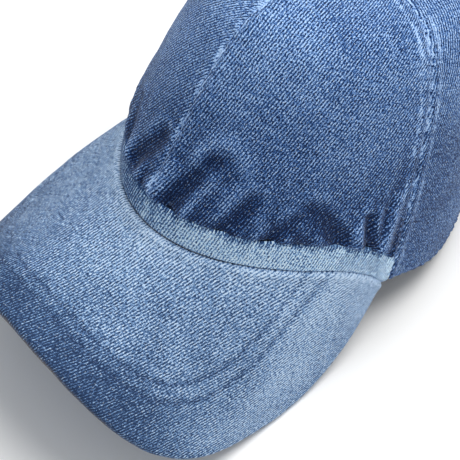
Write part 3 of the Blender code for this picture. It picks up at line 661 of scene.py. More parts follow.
def denim(name, stops, reverse, angle, middle=0.5, contrast=1.0, period=1.25):
    """Washed twill: diagonal ribs, slubs along the warp, pale flecks of weft, mottled fading, and the tone
    attribute's rubbing with its painted light and shade.
    """
    n = Nodes(name)
    cloth = n.node("Attribute", output=1, settings={"attribute_name": "cloth"})
    tone = n.node("Attribute", output=1, settings={"attribute_name": "tone"})
    parts = n.tree.nodes.new("ShaderNodeSeparateXYZ")
    n.plug(tone, parts.inputs[0])
    wear_and_painted_light, grey, inside = parts.outputs
    ribs_at = n.place(cloth, angle)
    ribs = n.node("TexWave", output=1, settings={"wave_type": "BANDS", "bands_direction": "X"},
                  Vector=ribs_at, Scale=math.pi / 10 / period, Distortion=1.6, Detail=2.0,
                  Detail_Scale=1.1, Detail_Roughness=0.65)
    fleck = n.noise(n.place(cloth, angle, (1.9, 0.75, 1.0)), 1.0, 1.5, 0.6)
    slub = n.noise(n.stretch(cloth, (1.5, 0.20, 1.0)), 1.0, 2.0)
    weft = n.noise(n.stretch(cloth, (0.25, 1.7, 1.0)), 1.0, 2.0)
    fuzz = n.noise(cloth, 2.6, 2.0, 0.7)
    where = n.node("TexCoord", output=3)
    mottle = n.noise(where, 75.0, 4.0, 0.62)
    blotch = n.noise(where, 22.0, 2.0, 0.5)

    value = n.add_scaled(middle, ribs, 0.20 * contrast)
    value = n.add_scaled(value, fleck, 0.85 * contrast)
    value = n.add_scaled(value, slub, 0.30 * contrast)
    value = n.add_scaled(value, weft, 0.22 * contrast)
    value = n.add_scaled(value, fuzz, 0.75 * contrast)
    value = n.add_scaled(value, mottle, 0.34)
    value = n.add_scaled(value, blotch, 0.14)
    # The first tone channel: rubbing and fading, with painted light and shade on the crown, band and visor.
    value = n.add_scaled(value, wear_and_painted_light, 0.26, 0.0)
    colour = n.ramp(value, stops)
    bright = n.noise(n.stretch(cloth, (1.1, 0.8, 1.0)), 1.0, 1.0)
    star = n.maths("MULTIPLY", n.maths("SUBTRACT", bright, 0.68), 14.0, clamp=True)
    colour = n.mix(n.maths("MULTIPLY", star, 0.55), colour, (0.62, 0.70, 0.80))
    colour = n.mix(n.maths("MULTIPLY", inside, 0.75), colour, reverse)
    rubbed = n.ramp(fuzz, ((0.35, (0.10, 0.10, 0.11)), (0.65, (0.36, 0.31, 0.26))))
    colour = n.mix(n.maths("MULTIPLY", grey, 0.8), colour, rubbed)
    height = n.add_scaled(0.0, ribs, 0.9)
    height = n.add_scaled(height, fuzz, 1.1)
    height = n.add_scaled(height, fleck, 0.9)
    rough = n.add_scaled(0.88, fuzz, -0.2)
    return n.finish(colour, rough, height, 0.00022, 0.75, sheen=0.08, specular=0.15)


INDIGO = ((0.02, (0.003, 0.011, 0.045)), (0.32, (0.014, 0.049, 0.165)), (0.52, (0.041, 0.120, 0.345)),
          (0.72, (0.112, 0.255, 0.560)), (1.00, (0.450, 0.630, 0.900)))
VISOR_BLUE = ((0.02, (0.015, 0.033, 0.085)), (0.32, (0.053, 0.110, 0.240)), (0.52, (0.118, 0.228, 0.440)),
              (0.72, (0.240, 0.400, 0.640)), (1.00, (0.600, 0.740, 0.900)))
BAND_BLUE = ((0.02, (0.014, 0.045, 0.140)), (0.32, (0.085, 0.200, 0.450)), (0.52, (0.240, 0.450, 0.780)),
             (0.72, (0.430, 0.690, 0.960)), (1.00, (0.740, 0.900, 1.000)))


def cotton(name, dark, light):
    """Plain twill tape."""
    n = Nodes(name)
    cloth = n.node("Attribute", output=1, settings={"attribute_name": "cloth"})
    weave = n.node("TexWave", output=1, settings={"wave_type": "BANDS", "bands_direction": "X"},
                   Vector=n.place(cloth, 45.0), Scale=0.42, Distortion=0.8, Detail=1.0)
    fuzz = n.noise(cloth, 2.2, 3.0, 0.6)
    value = n.add_scaled(n.add_scaled(0.5, weave, 0.35), fuzz, 0.9)
    value = n.add_scaled(value, n.noise(n.node("TexCoord", output=3), 60.0), 0.6)
    colour = n.ramp(value, ((0.2, dark), (0.8, light)))
    height = n.add_scaled(n.add_scaled(0.0, weave, 1.0), fuzz, 0.8)
    return n.finish(colour, n.add_scaled(0.85, fuzz, -0.2), height, 0.0002, 0.6, sheen=0.2, specular=0.25)


def thread(name, dark, light):
    """Twisted sewing thread."""
    n = Nodes(name)
    where = n.node("TexCoord", output=3)
    twist = n.noise(where, 2600.0, 1.0)
    tint = n.noise(where, 160.0, 2.0)
    value = n.add_scaled(n.add_scaled(0.5, twist, 0.7), tint, 1.4)
    colour = n.ramp(value, ((0.25, dark), (0.75, light)))
    return n.finish(colour, n.add_scaled(0.7, twist, -0.2), twist, 0.0001, 0.5, sheen=0.2, specular=0.3)


def antique_brass():
    n = Nodes("antique_brass")
    where = n.node("TexCoord", output=3)
    cloud = n.noise(where, 420.0, 4.0, 0.6)
    scratch = n.noise(n.stretch(where, (1.0, 1.0, 14.0)), 500.0, 3.0, 0.6)
    value = n.add_scaled(cloud, scratch, 0.5)
    colour = n.ramp(value, ((0.30, (0.13, 0.085, 0.035)), (0.48, (0.40, 0.27, 0.11)),
                            (0.75, (0.62, 0.46, 0.22))))
    rough = n.add_scaled(0.38, cloud, -0.5)
    height = n.add_scaled(0.0, scratch, 1.0)
    return n.finish(colour, rough, height, 0.00006, 0.5, metallic=1.0, specular=0.5)


def board_plastic():
    n = Nodes("visor_board_sheet")
    where = n.node("TexCoord", output=3)
    grain = n.noise(where, 900.0, 3.0)
    colour = n.ramp(grain, ((0.3, (0.62, 0.61, 0.57)), (0.7, (0.80, 0.79, 0.75))))
    return n.finish(colour, n.add_scaled(0.5, grain, 0.3), grain, 0.0001, 0.3)


# ---- crown ---------------------------------------------------------------------------------------------

def band_top(theta):
    return level_at_rise(theta, BAND_HEIGHT + 0.0001)


def side_bottom(theta):
    return np.full_like(theta, -1.0)


def back_bottom(theta):
    across = np.abs(hem_radius(theta) * np.sin(theta))
    share = np.minimum(across / ARCH_HALF_WIDTH, 1.0)
    rise = ARCH_HEIGHT * np.sqrt(1 - share ** 2)
    return np.where(across >= ARCH_HALF_WIDTH, -1.0, level_at_rise(theta, rise))


def back_shares(beside=8, over=56):
    start = math.radians(REAR_SEAM)
    foot = float(angle_at_x(ARCH_HALF_WIDTH))
    first = np.linspace(start, foot, beside, endpoint=False)
    second = angle_at_x(ARCH_HALF_WIDTH * np.cos(np.linspace(0, math.pi / 2, over)))
    second[-1] = math.pi
    return (np.concatenate([first, second]) - start) / (math.pi - start)


def make_crown(finish):
    """The six panels, and the width, length and area that each was cut to."""
    flats = {"front": (0.135, 0.165, 0.0150), "side": (0.080, 0.180, 0.0096), "back": (0.078, 0.180, 0.0089)}
    made = []
    for side, sign in SIDES:
        plans = {"front": (0, SIDE_SEAM, band_top, crowded(92), 112),
                 "side": (SIDE_SEAM, REAR_SEAM, side_bottom, crowded(56), 120),
                 "back": (REAR_SEAM, 180, back_bottom, back_shares(), 116)}
        for place, (start, end, bottom, shares, count) in plans.items():
            name = place + "_panel_" + side
            piece = crown_panel(name, sign * start, sign * end, bottom, shares, count, finish)
            made.append((piece, flats[place]))
    return made


# ---- stitches ------------------------------------------------------------------------------------------

def resample(points, normals, step):
    away = run_length(points)
    marks = np.arange(0, away[-1], step)
    spots = np.stack([np.interp(marks, away, points[:, axis]) for axis in range(3)], -1)
    upward = np.stack([np.interp(marks, away, normals[:, axis]) for axis in range(3)], -1)
    return spots, unit(upward)


def stitches(name, rows, body, finish, length=0.0026, gap=0.0006, radius=0.00027, seed=1):
    """Rows of single stitches, each dipping into the cloth at its ends."""
    rng = np.random.default_rng(seed)
    parts = 5
    ring = 6
    points, faces = [], []
    shape = np.sin(np.linspace(0, math.pi, parts))
    for path, normals in rows:
        spots, upward = resample(np.asarray(path), np.asarray(normals), (length + gap) / (parts + 1))
        for first in range(0, len(spots) - parts - 1, parts + 1):
            line = spots[first:first + parts].copy()
            up = upward[first:first + parts]
            ahead = unit(line[-1] - line[0])
            across = unit(np.cross(ahead, up))
            line += up * ((shape * 1.1 - 0.75) * radius)[:, None]
            line += across * rng.normal(0, 0.00006)
            base = len(points)
            for spot, lift, normal, side in zip(line, shape, up, across):
                size = radius * (0.55 + 0.45 * lift)
                for step in range(ring):
                    turn = 2 * math.pi * step / ring
                    points.append(spot + side * math.cos(turn) * size + normal * math.sin(turn) * size * 0.8)
            faces += ring_quads(base, parts - 1, ring)
            faces.append(tuple(base + step for step in reversed(range(ring))))
            faces.append(tuple(base + (parts - 1) * ring + step for step in range(ring)))
    made = make_object(name, np.array(points), faces, body, finish)
    return made


def crown_line(theta, level, lift=0.0):
    """A line on the finished crown, with its normals."""
    height, _ = crown_relief(theta, level)
    normals = crown_normal(theta, level)
    return crown(theta, level) + normals * (height + lift)[..., None], normals


def seam_rows(off):
    """Stitching beside every crown seam."""
    rows = []
    for seam in SEAMS:
        for side in (1, -1):
            theta0 = math.radians(seam)
            bottom = 0.0 if abs(seam) < 1 else -0.97
            if abs(seam) > 179:
                bottom = float(level_at_rise(theta0, ARCH_HEIGHT + 0.001))
            if abs(abs(seam) - SIDE_SEAM) < 1 and side * seam < 0:
                bottom = 0.01
            top = float(level_at_radius(theta0, 0.009))
            level = level_of(np.linspace(float(climb_of(bottom)), float(climb_of(top)), 400))
            spot = crown(theta0, level)
            radius = from_axis(spot)
            rows.append(crown_line(theta0 + side * off / radius, level))
    return rows


# ---- front band ----------------------------------------------------------------------------------------

def band_surface(theta, share):
    """The front band, share 0 at the hem and 1 at its top."""
    along = hem_arc(theta)
    warp = along + 0.0026 * noise1(along, 0.011, 7)
    level = share - 1.0
    base = crown(theta, level)
    normals = crown_normal(theta, level)
    pucker = gathers(along, warp) * share ** 2
    height = 0.55 * MM * (1 - (2 * share - 1) ** 4) + 0.45 * MM * pucker + 0.16 * MM * noise(base, 0.006, 21)
    height += 0.25 * MM * noise(base, 0.02, 22)
    lift = 0.60 * MM * share ** 3 * (noise1(along, 0.007, 23) + 0.6 * pucker)
    points = base + normals * height[..., None]
    points[..., 2] += lift
    wear_and_painted_light = 0.95 * pucker + 0.35 * noise(base, 0.012, 24)
    # Painted shade: darker along the top of the band, under the crown's overhang.
    wear_and_painted_light -= 1.6 * smooth((share - 0.82 + 0.10 * noise1(along, 0.005, 26)) / 0.14)
    # Painted shade: darker over the wearer's right half of the band, the side away from the light; also a
    # little darker near both ends.
    wear_and_painted_light -= 2.6 * smooth((math.radians(16) - theta) / 0.5) + 0.6 * smooth((np.abs(theta) - 1.15) / 0.2)
    wear_and_painted_light += 0.55 * hump(share - 0.10, 0.10) - 0.9 * hump(share, 0.035)
    centre = hump(along + 0.001, 0.0028)
    flecks = smooth(noise(base, 0.0017, 25) / 0.5 + 0.6)
    wear_and_painted_light += 2.6 * centre * flecks * smooth(1.2 - share)
    last = float(hem_arc(math.radians(SIDE_SEAM)))
    ends = hump(np.abs(along) - last + 0.0035, 0.0050)
    wear_and_painted_light += 1.6 * ends * (0.4 + 0.6 * flecks)
    return points, normals, wear_and_painted_light


def make_front_band(finish):
    end = math.radians(SIDE_SEAM) - 0.0001 / HALF_WIDTH
    theta, share = np.meshgrid(np.linspace(-end, end, 240), crowded(16, 0.5))
    points, normals, wear_and_painted_light = band_surface(theta, share)
    cloth = np.stack([hem_arc(theta) / MM, share * BAND_HEIGHT / MM, np.zeros_like(theta)], -1)
    made = shell("band_of_front", points, normals, BAND_CLOTH, "cap", finish, cloth, wear_and_painted_light, bulge=0.5)
    return stand_for(made, "front_band")


# ---- visor ---------------------------------------------------------------------------------------------

def visor_outline(count=400):
    """Plan of the visor's edge from the wearer's right to the left, against the share of its length."""
    end = math.radians(VISOR_END)
    end_x = float(hem_radius(end)) * math.sin(end)
    end_y = -float(hem_radius(end)) * math.cos(end)
    wide = (end_x / VISOR_HALF_WIDTH) ** VISOR_POWER
    back = (1 - wide) ** (1 / VISOR_POWER)
    first = -math.atan2(math.sqrt(1 - wide), math.sqrt(wide))
    angle = math.pi - first + (2 * first - math.pi) * np.arange(count + 1) / count
    x = VISOR_HALF_WIDTH * np.copysign(np.abs(np.cos(angle)) ** (2 / VISOR_POWER), np.cos(angle))
    ahead = np.abs(np.sin(angle)) ** (2 / VISOR_POWER)
    front = VISOR_WIDEST_Y + (VISOR_FRONT - VISOR_WIDEST_Y) * ahead
    behind = VISOR_WIDEST_Y + (end_y - VISOR_WIDEST_Y) / back * ahead
    spots = np.stack([x, np.where(np.sin(angle) > 0, front, behind)], -1)
    away = np.concatenate([[0.0], np.cumsum(np.hypot(*np.diff(spots, axis=0).T))])
    return spots, away / away[-1] * 2 - 1


OUTLINE, OUTLINE_SHARES = visor_outline()


def visor_ends(way):
    """The hem and the edge of the visor, way -1 to 1 from the wearer's right to the left."""
    theta = way * math.radians(VISOR_END)
    flat = np.stack([np.sin(theta), -np.cos(theta)], -1)
    near = flat * (hem_radius(theta) + VISOR_HEM_GAP)[..., None]
    inner = np.concatenate([near, (hem_height(theta) - GAP)[..., None]], -1)
    x = np.interp(way, OUTLINE_SHARES, OUTLINE[:, 0])
    y = np.interp(way, OUTLINE_SHARES, OUTLINE[:, 1])
    edge = EDGE_FRONT + (EDGE_SIDE - EDGE_FRONT) * np.abs(x / VISOR_HALF_WIDTH) ** EDGE_POWER
    ending = np.abs(way) ** 8
    outer = np.stack([x, y, edge * (1 - ending) + HEM_SIDE * ending], -1)
    return inner, outer


def visor(way, out):
    way, out = np.broadcast_arrays(np.asarray(way, float), np.asarray(out, float))
    inner, outer = visor_ends(way)
    spot = inner + (outer - inner) * out[..., None]
    between = 4 * out * (1 - out)
    spot[..., 2] += VISOR_HOLLOW * between * (1 - way ** 2)
    swell = between * hump(np.abs(way) - SWELL_WAY, SWELL_WIDTH)
    swell = swell * np.where(way > 0, SWELL_LEFT, 1.0)
    theta = way * math.radians(VISOR_END)
    aside = np.stack([np.sin(theta) * SWELL_OUT, -np.cos(theta) * SWELL_OUT,
                      np.full_like(theta, SWELL_UP)], -1)
    return spot + aside * swell[..., None]


def visor_frame(way, out):
    """Outward direction and upper normal of the visor's surface."""
    step = 1e-3
    along = visor(way + step, out) - visor(way - step, out)
    outward = visor(way, np.minimum(out + step, 1.0)) - visor(way, np.maximum(out - step, 0.0))
    return unit(outward), unit(np.cross(outward, along))


def visor_offset(way, out):
    """Distance in plan from the visor's edge."""
    step = 1e-3
    inner, outer = visor_ends(way)
    _, ahead = visor_ends(way + step)
    _, behind = visor_ends(way - step)
    run = unit((ahead - behind)[..., :2])
    square = np.stack([run[..., 1], -run[..., 0]], -1)
    deep = np.abs(((inner - outer)[..., :2] * square).sum(-1))
    return (1 - out) * deep, deep


def visor_length(way):
    inner, outer = visor_ends(way)
    return np.linalg.norm(outer - inner, axis=-1)


def visor_relief(way, out):
    """Height and tone of the visor's upper surface: fading, rubbing and stitch marks, with painted shade
    towards the front edge and over the wearer's right.
    """
    base = visor(way, out)
    off, _ = visor_offset(way, out)
    near = out * visor_length(way)
    height = 0.30 * MM * noise(base, 0.030, 31) + 0.10 * MM * noise(base, 0.008, 32)
    ridge = hump(near - 0.0022, 0.0018)
    height += 0.55 * MM * ridge - 0.8 * MM * hump(near, 0.0006)
    wear_and_painted_light = 0.30 * noise(base, 0.030, 33) + 0.22 * noise(base, 0.012, 34)
    # Paler along the ridge beside the hem seam and within about 2 cm of the band.
    wear_and_painted_light += 0.65 * hump(near - 0.0016, 0.0011) + 1.15 * np.exp(-near / 0.020)
    # Painted shade: darker towards the front edge, which faces away from the light, except at the wearer's
    # far left; also darker over the wearer's right end.
    wear_and_painted_light -= 1.75 * smooth((out - 0.58) / 0.34) * smooth((0.55 - way) / 0.25) + 0.35 * smooth(-1.6 * way)
    # Paler around the middle of the wearer's left half.
    wear_and_painted_light += 0.45 * hump(way - 0.66, 0.14)
    along = way * 0.17
    for index, row in enumerate(STITCH_ROWS):
        apart = off - row
        bob = 0.5 + 0.5 * np.sin(2 * math.pi * along / VISOR_STITCH_PITCH + index)
        height -= MM * (0.24 + 0.18 * bob) * hump(apart, 0.0008)
        height += 0.08 * MM * hump(np.abs(apart) - 0.0020, 0.0010)
        wear_and_painted_light -= (0.5 + 0.6 * bob) * hump(apart, 0.0010)
        holes = smooth((noise(base, 0.0022, 35 + index) - 0.28) / 0.3) * smooth(0.2 - way * 1.5)
        wear_and_painted_light += 3.2 * hump(apart + 0.0004, 0.0009) * holes
    # Paler about 6 mm in from the edge; painted shade: darker within about 5 cm of the edge on the wearer's
    # right half.
    wear_and_painted_light += 0.35 * hump(off - 0.006, 0.006) - 0.3 * smooth(-way) * smooth(1 - off / 0.05)
    return height, wear_and_painted_light


def unroll(count=300):
    """The visor laid flat: where its hem and its edge fall, ruling by ruling, away from the middle."""
    ways = np.linspace(0, 1, count)
    inner, outer = visor_ends(ways)
    hem_spots = [np.array([0.0, 0.0])]
    edge_spots = [np.array([0.0, float(np.linalg.norm(outer[0] - inner[0]))])]

    def apex(a, b, from_a, from_b):
        run = b - a
        long = np.linalg.norm(run)
        run = run / long
        along = (from_a ** 2 - from_b ** 2 + long ** 2) / (2 * long)
        off = math.sqrt(max(from_a ** 2 - along ** 2, 0.0))
        return a + run * along + np.array([run[1], -run[0]]) * off

    for index in range(1, count):
        h, e = hem_spots[-1], edge_spots[-1]
        to_hem = np.linalg.norm(inner[index] - inner[index - 1])
        across = np.linalg.norm(inner[index] - outer[index - 1])
        nearer = apex(h, e, to_hem, across)
        to_edge = np.linalg.norm(outer[index] - outer[index - 1])
        long = np.linalg.norm(outer[index] - inner[index])
        hem_spots.append(nearer)
        edge_spots.append(apex(nearer, e, long, to_edge))
    return ways, np.array(hem_spots), np.array(edge_spots)


FLAT_WAYS, FLAT_HEM, FLAT_EDGE = unroll()


def visor_cloth(way, out):
    """Place on the flat cloth in mm, x across the visor and y from the middle of the hem forwards."""
    turn = np.abs(way)
    hem_at = np.stack([np.interp(turn, FLAT_WAYS, FLAT_HEM[:, axis]) for axis in (0, 1)], -1)
    edge_at = np.stack([np.interp(turn, FLAT_WAYS, FLAT_EDGE[:, axis]) for axis in (0, 1)], -1)
    flat = hem_at + (edge_at - hem_at) * np.asarray(out)[..., None]
    return np.stack([flat[..., 0] * np.sign(way), flat[..., 1], np.zeros_like(flat[..., 0])], -1) / MM


def make_visor_top(finish):
    ways = VISOR_LAST_WAY * np.sin(math.pi / 2 * np.linspace(-1, 1, 230))
    length = visor_length(ways)
    roll = np.minimum(VISOR_ROLL, 0.4 * length)
    last = 1 - roll / length
    share = np.concatenate([np.array([0, 0.4, 0.9, 1.5, 2.2, 3.0, 4.0]) / 90, np.linspace(5, 90, 84) / 90])
    way = np.broadcast_to(ways, (len(share), len(ways)))
    out = share[:, None] * last
    height, wear_and_painted_light = visor_relief(way, out)
    outward, normals = visor_frame(way, out)
    top = visor(way, out) + normals * height[..., None]
    cloth = visor_cloth(way, out)
    turns = np.linspace(0, math.pi, 15)[1:]
    half = VISOR_DEPTH / 2
    e, n, start = outward[-1], normals[-1], top[-1]
    wavy = 1 + 0.10 * noise(start, 0.006, 41)
    rolled = [start + e * (roll * math.sin(t) * wavy)[:, None] - n * (half * (1 - math.cos(t)))
              for t in turns]
    turned = [n * math.cos(t) + e * math.sin(t) for t in turns]
    points = np.concatenate([top, rolled])
    normals = np.concatenate([normals, turned])
    travel = np.array([half * t for t in turns])
    extra = np.stack([cloth[-1] + np.stack([e[:, 0], -e[:, 1], 0 * e[:, 0]], -1) * t / MM for t in travel])
    worn = smooth(noise(start, 0.004, 42) * 0.7 + 0.5)
    edges = np.stack([(0.25 + 0.75 * smooth(t / 2.0)) * (0.35 + 0.65 * worn) for t in turns])
    edges *= smooth((np.array(turns) - 0.7) / 1.2)[:, None]
    tones = np.concatenate([wear_and_painted_light, np.broadcast_to(wear_and_painted_light[-1], (len(turns), len(ways)))])
    greys = np.concatenate([np.zeros_like(wear_and_painted_light), edges])
    made = shell("visor_top_denim", points[:, ::-1], normals[:, ::-1], CLOTH, "cap", finish,
                 np.concatenate([cloth, extra])[:, ::-1], tones[:, ::-1], grey=greys[:, ::-1])
    return stand_for(made, "visor_top_cover")


def make_visor_under(finish):
    ways = UNDER_LAST_WAY * np.sin(math.pi / 2 * np.linspace(-1, 1, 160))
    length = visor_length(ways)
    last = 1 - (np.minimum(VISOR_ROLL, 0.4 * length) + 0.0003) / length
    share = np.linspace(0, 1, 60)
    way = np.broadcast_to(ways, (len(share), len(ways)))
    out = share[:, None] * last
    outward, normals = visor_frame(way, out)
    base = visor(way, out)
    off, _ = visor_offset(way, out)
    height = 0.12 * MM * noise(base, 0.02, 51)
    wear_and_painted_light = 0.25 * noise(base, 0.02, 52)
    for row in STITCH_ROWS:
        height -= 0.25 * MM * hump(off - row, 0.0010)
        wear_and_painted_light -= 0.5 * hump(off - row, 0.0008)
    points = base - normals * (VISOR_DEPTH - 0.0002 + height)[..., None]
    cloth = visor_cloth(way, out)
    upward = normals[0]
    # the cloth's seam allowance stands up between the board and the crown's hem
    for depth in VISOR_ALLOWANCE:
        points = np.concatenate([(base[0] - upward * depth)[None], points])
        normals = np.concatenate([outward[:1], normals])
        cloth = np.concatenate([cloth[:1] - np.array([0.0, 1.0, 0.0]), cloth])
        wear_and_painted_light = np.concatenate([wear_and_painted_light[:1], wear_and_painted_light])
    made = shell("visor_under_denim", points, -normals, UNDER_CLOTH * 0.8, "cap", finish, cloth, wear_and_painted_light)
    return stand_for(made, "visor_under_cover")


def visor_rows(under):
    rows = []
    for row in STITCH_ROWS:
        way = np.linspace(-0.96, 0.96, 1500)
        _, deep = visor_offset(way, 0.0 * way)
        way = way[deep > row + 0.0015]
        _, deep = visor_offset(way, 0.0 * way)
        out = 1 - row / deep
        _, normals = visor_frame(way, out)
        base = visor(way, out)
        if under:
            inside = np.abs(way) < 0.95
            rows.append(((base - normals * (VISOR_DEPTH - 0.0003))[inside], -normals[inside]))
        else:
            height, _ = visor_relief(way, out)
            rows.append((base + normals * height[..., None], normals))
    return rows


# ---- strips inside the crown ---------------------------------------------------------------------------

def crown_strip(name, theta, level, depth, thickness, finish, node, cloth, wave=0.0, seed=61):
    """A strip that follows the crown's inside, on a grid of angles and levels."""
    normals = crown_normal(theta, level)
    points = crown(theta, level)
    points = points - normals * (depth + thickness + 0 * theta)[..., None]
    points = points - normals * (wave * (1 + noise(points, 0.012, seed)))[..., None]
    made = shell(name, points, -normals, thickness * 0.9, "cap", finish, cloth, 0 * theta)
    return stand_for(made, node), points, -normals


def make_sweatband(finish):
    end = math.radians(SWEATBAND_END)
    theta, share = np.meshgrid(np.linspace(end, -end, 260), crowded(26, 0.5))
    top = level_at_rise(theta, SWEATBAND_HEIGHT)
    level = -0.95 + (top + 0.95) * share
    cloth = np.stack([hem_arc(theta) / MM, share * SWEATBAND_HEIGHT / MM, 0 * theta], -1)
    made, points, normals = crown_strip("sweatband_cotton", theta, level, SWEATBAND_DEPTH, SWEATBAND_CLOTH,
                                        finish, "sweatband", cloth, wave=0.0002)
    rows = [(points[row][::-1] + normals[row][::-1] * 0.0001, normals[row][::-1]) for row in (3, 22)]
    return made, rows


def make_tapes(finish):
    plans = [("tape_front", 0.0, TAPE_BOTTOM), ("tape_back", 180.0, ARCH_HEIGHT + FACING_WIDTH + 0.002)]
    for side, sign in SIDES:
        plans.append(("tape_side_" + side, sign * SIDE_SEAM, TAPE_BOTTOM))
        plans.append(("tape_rear_" + side, sign * REAR_SEAM, TAPE_BOTTOM))
    rows = []
    for name, seam, bottom in plans:
        seam = math.radians(seam)
        low = float(level_at_rise(seam, bottom))
        high = float(level_at_radius(seam, TAPE_TOP_RADIUS))
        level, share = np.meshgrid(np.linspace(low, high, 90), np.linspace(-1, 1, 11), indexing="ij")
        spot = crown(seam, level)
        radius = from_axis(spot)
        theta = seam - share * TAPE_WIDTH / 2 / radius
        cloth = np.stack([share * TAPE_WIDTH / 2, climb_of(level), 0 * share], -1) / MM
        crest = TAPE_DEPTH + 0.00015 * (1 - share ** 2)
        _, points, normals = crown_strip(name + "_cotton", theta, level, crest, TAPE_CLOTH, finish,
                                         name, cloth, wave=0.0001)
        rows += [(points[:, column] + normals[:, column] * 0.0001, normals[:, column]) for column in (2, 8)]
    return rows


def arch_place(lean, margin):
    """Angle and level round the rear opening: lean from the arch's top, and margin outside its edge."""
    across = (ARCH_HALF_WIDTH + margin) * np.sin(lean)
    theta = np.copysign(angle_at_x(np.abs(across)), across)
    level = level_at_rise(theta, np.maximum((ARCH_HEIGHT + margin) * np.cos(lean), 0.002))
    return np.where(theta < 0, theta + 2 * math.pi, theta), level


def make_facing(finish):
    reach = math.acos(0.030 / ARCH_HEIGHT)
    lean, margin = np.meshgrid(np.linspace(-reach, reach, 120), np.linspace(0, 1, 9), indexing="ij")
    wide = margin * FACING_WIDTH
    theta, level = arch_place(lean, wide)
    cloth = np.stack([lean * ARCH_HEIGHT, wide, 0 * wide], -1) / MM
    _, points, normals = crown_strip("arch_binding", theta, level, TAPE_DEPTH, TAPE_CLOTH, finish,
                                     "arch_facing", cloth)
    return [(points[:, 6] + normals[:, 6] * 0.0001, normals[:, 6])]


def arch_rows():
    """Two rows of stitching on the outside, round the rear opening."""
    rows = []
    for margin in (0.0018, 0.0068):
        theta, level = arch_place(np.linspace(-1.5, 1.5, 500), margin)
        rows.append(crown_line((theta + math.pi) % (2 * math.pi) - math.pi, level))
    return rows


def hem_rows():
    """Stitching along the hem of the side and back panels."""
    rows = []
    for sign in (1, -1):
        last = float(angle_at_x(ARCH_HALF_WIDTH + 0.001))
        theta = sign * np.linspace(math.radians(SIDE_SEAM + 1.5), last, 300)
        for rise in (0.0020, 0.0085):
            rows.append(crown_line(theta, level_of(np.full_like(theta, rise))))
    return rows


# ---- small parts ---------------------------------------------------------------------------------------

def make_eyelets(finish):
    """Buttonhole-stitched rings, one in each side and back panel."""
    spans = {"side": (SIDE_SEAM, REAR_SEAM), "back": (REAR_SEAM, 180.0)}
    for side, sign in SIDES:
        for place, span in spans.items():
            theta = math.radians(sign * (span[0] + span[1]) / 2)
            level = float(level_at_radius(np.array([theta]), EYELET_REACH)[0])
            height, _ = crown_relief(np.array([theta]), np.array([level]))
            normal = crown_normal(np.array([theta]), np.array([level]))[0]
            centre = crown(theta, level) + normal * (height[0] - CLOTH / 2)
            east = unit(np.cross(normal, (0.0, 0.0, 1.0)))
            north = np.cross(normal, east)
            around = np.linspace(0, 2 * math.pi, 145)[:-1]
            tube = np.linspace(0, 2 * math.pi, 13)[:-1]
            turn, bend = np.meshgrid(around, tube, indexing="ij")
            middle = (EYELET_RADIUS + EYELET_HOLE) / 2
            cord = 0.5 + 0.5 * np.cos(turn * 24)
            jitter = 0.08 * noise1(turn * 0.01, 0.002, 71)
            wide = (EYELET_RADIUS - middle) * (0.93 + 0.07 * cord + jitter)
            tall = (CLOTH / 2 + 0.0005) * (0.78 + 0.22 * cord)
            reach = middle + wide * np.cos(bend)
            points = (centre + east * (reach * np.cos(turn))[..., None]
                      + north * (reach * np.sin(turn))[..., None]
                      + normal * (tall * np.sin(bend))[..., None])
            rows, columns = turn.shape
            total = rows * columns
            faces = [(a, d % total, c % total, b) for a, b, c, d in ring_quads(0, rows, columns)]
            cloth = np.stack([turn * 3, bend, 0 * turn], -1)
            name = "eyelet_" + place + "_" + side
            made = make_object(name + "_stitched", points, faces, "cap", finish, cloth)
            stand_for(made, name)


def make_button(finish):
    """A domed button covered in denim, pleated where the cloth is drawn under its rim."""
    rim = CROWN_TOP + GAP
    around = np.linspace(0, 2 * math.pi, 97)[:-1]
    lift = np.linspace(0, 1, 26)
    profile = []
    for share in lift[1:]:
        angle = math.pi / 2 * 1.12 * share
        profile.append((BUTTON_RADIUS * math.sin(angle),
                        rim + 0.001 + (BUTTON_HEIGHT - 0.001) * math.cos(angle), share))
    for share in np.linspace(0, 1, 6)[1:]:
        profile.append((BUTTON_RADIUS * 0.985 * (1 - share) + 0.0022 * share,
                        rim + 0.0004 * (1 - share), 1.0))
    points, cloth, wear_and_painted_light = [(0.0, APEX_Y, rim + BUTTON_HEIGHT)], [(0.0, 0.0, 0.0)], [0.4]
    for radius, height, share in profile:
        pleat = 1 + 0.030 * np.sin(around * 17 + 1.5 * np.sin(around * 3)) * smooth((share - 0.72) / 0.28)
        wrinkle = 0.00008 * noise1(around * 0.004, 0.002, 81, share * 5)
        reach = radius * pleat + wrinkle
        for turn, r in zip(around, np.broadcast_to(reach, around.shape)):
            points.append((r * math.cos(turn), APEX_Y + r * math.sin(turn), height))
            cloth.append((radius / MM * 1.1 * math.cos(turn), radius / MM * 1.1 * math.sin(turn), 0.0))
            wear_and_painted_light.append(0.5 * float(noise1(np.array([turn * 0.004]), 0.002, 82)[0])
                        + 0.5 * (1 - share) - 0.6 * float(smooth((share - 0.9) / 0.1)))
    count = len(around)
    faces = [(0, 1 + step, 1 + (step + 1) % count) for step in range(count)]
    faces += [(a, d, c, b) for a, b, c, d in ring_quads(1, len(profile) - 1, count)]
    last = 1 + (len(profile) - 1) * count
    faces.append(tuple(last + step for step in reversed(range(count))))
    tone = np.stack([np.array(wear_and_painted_light), np.zeros(len(wear_and_painted_light)), np.zeros(len(wear_and_painted_light))], -1)
    made = make_object("button_cover", np.array(points), faces, "cap", finish, np.array(cloth), tone)
    return stand_for(made, "top_button")


# ---- strap and tab -------------------------------------------------------------------------------------

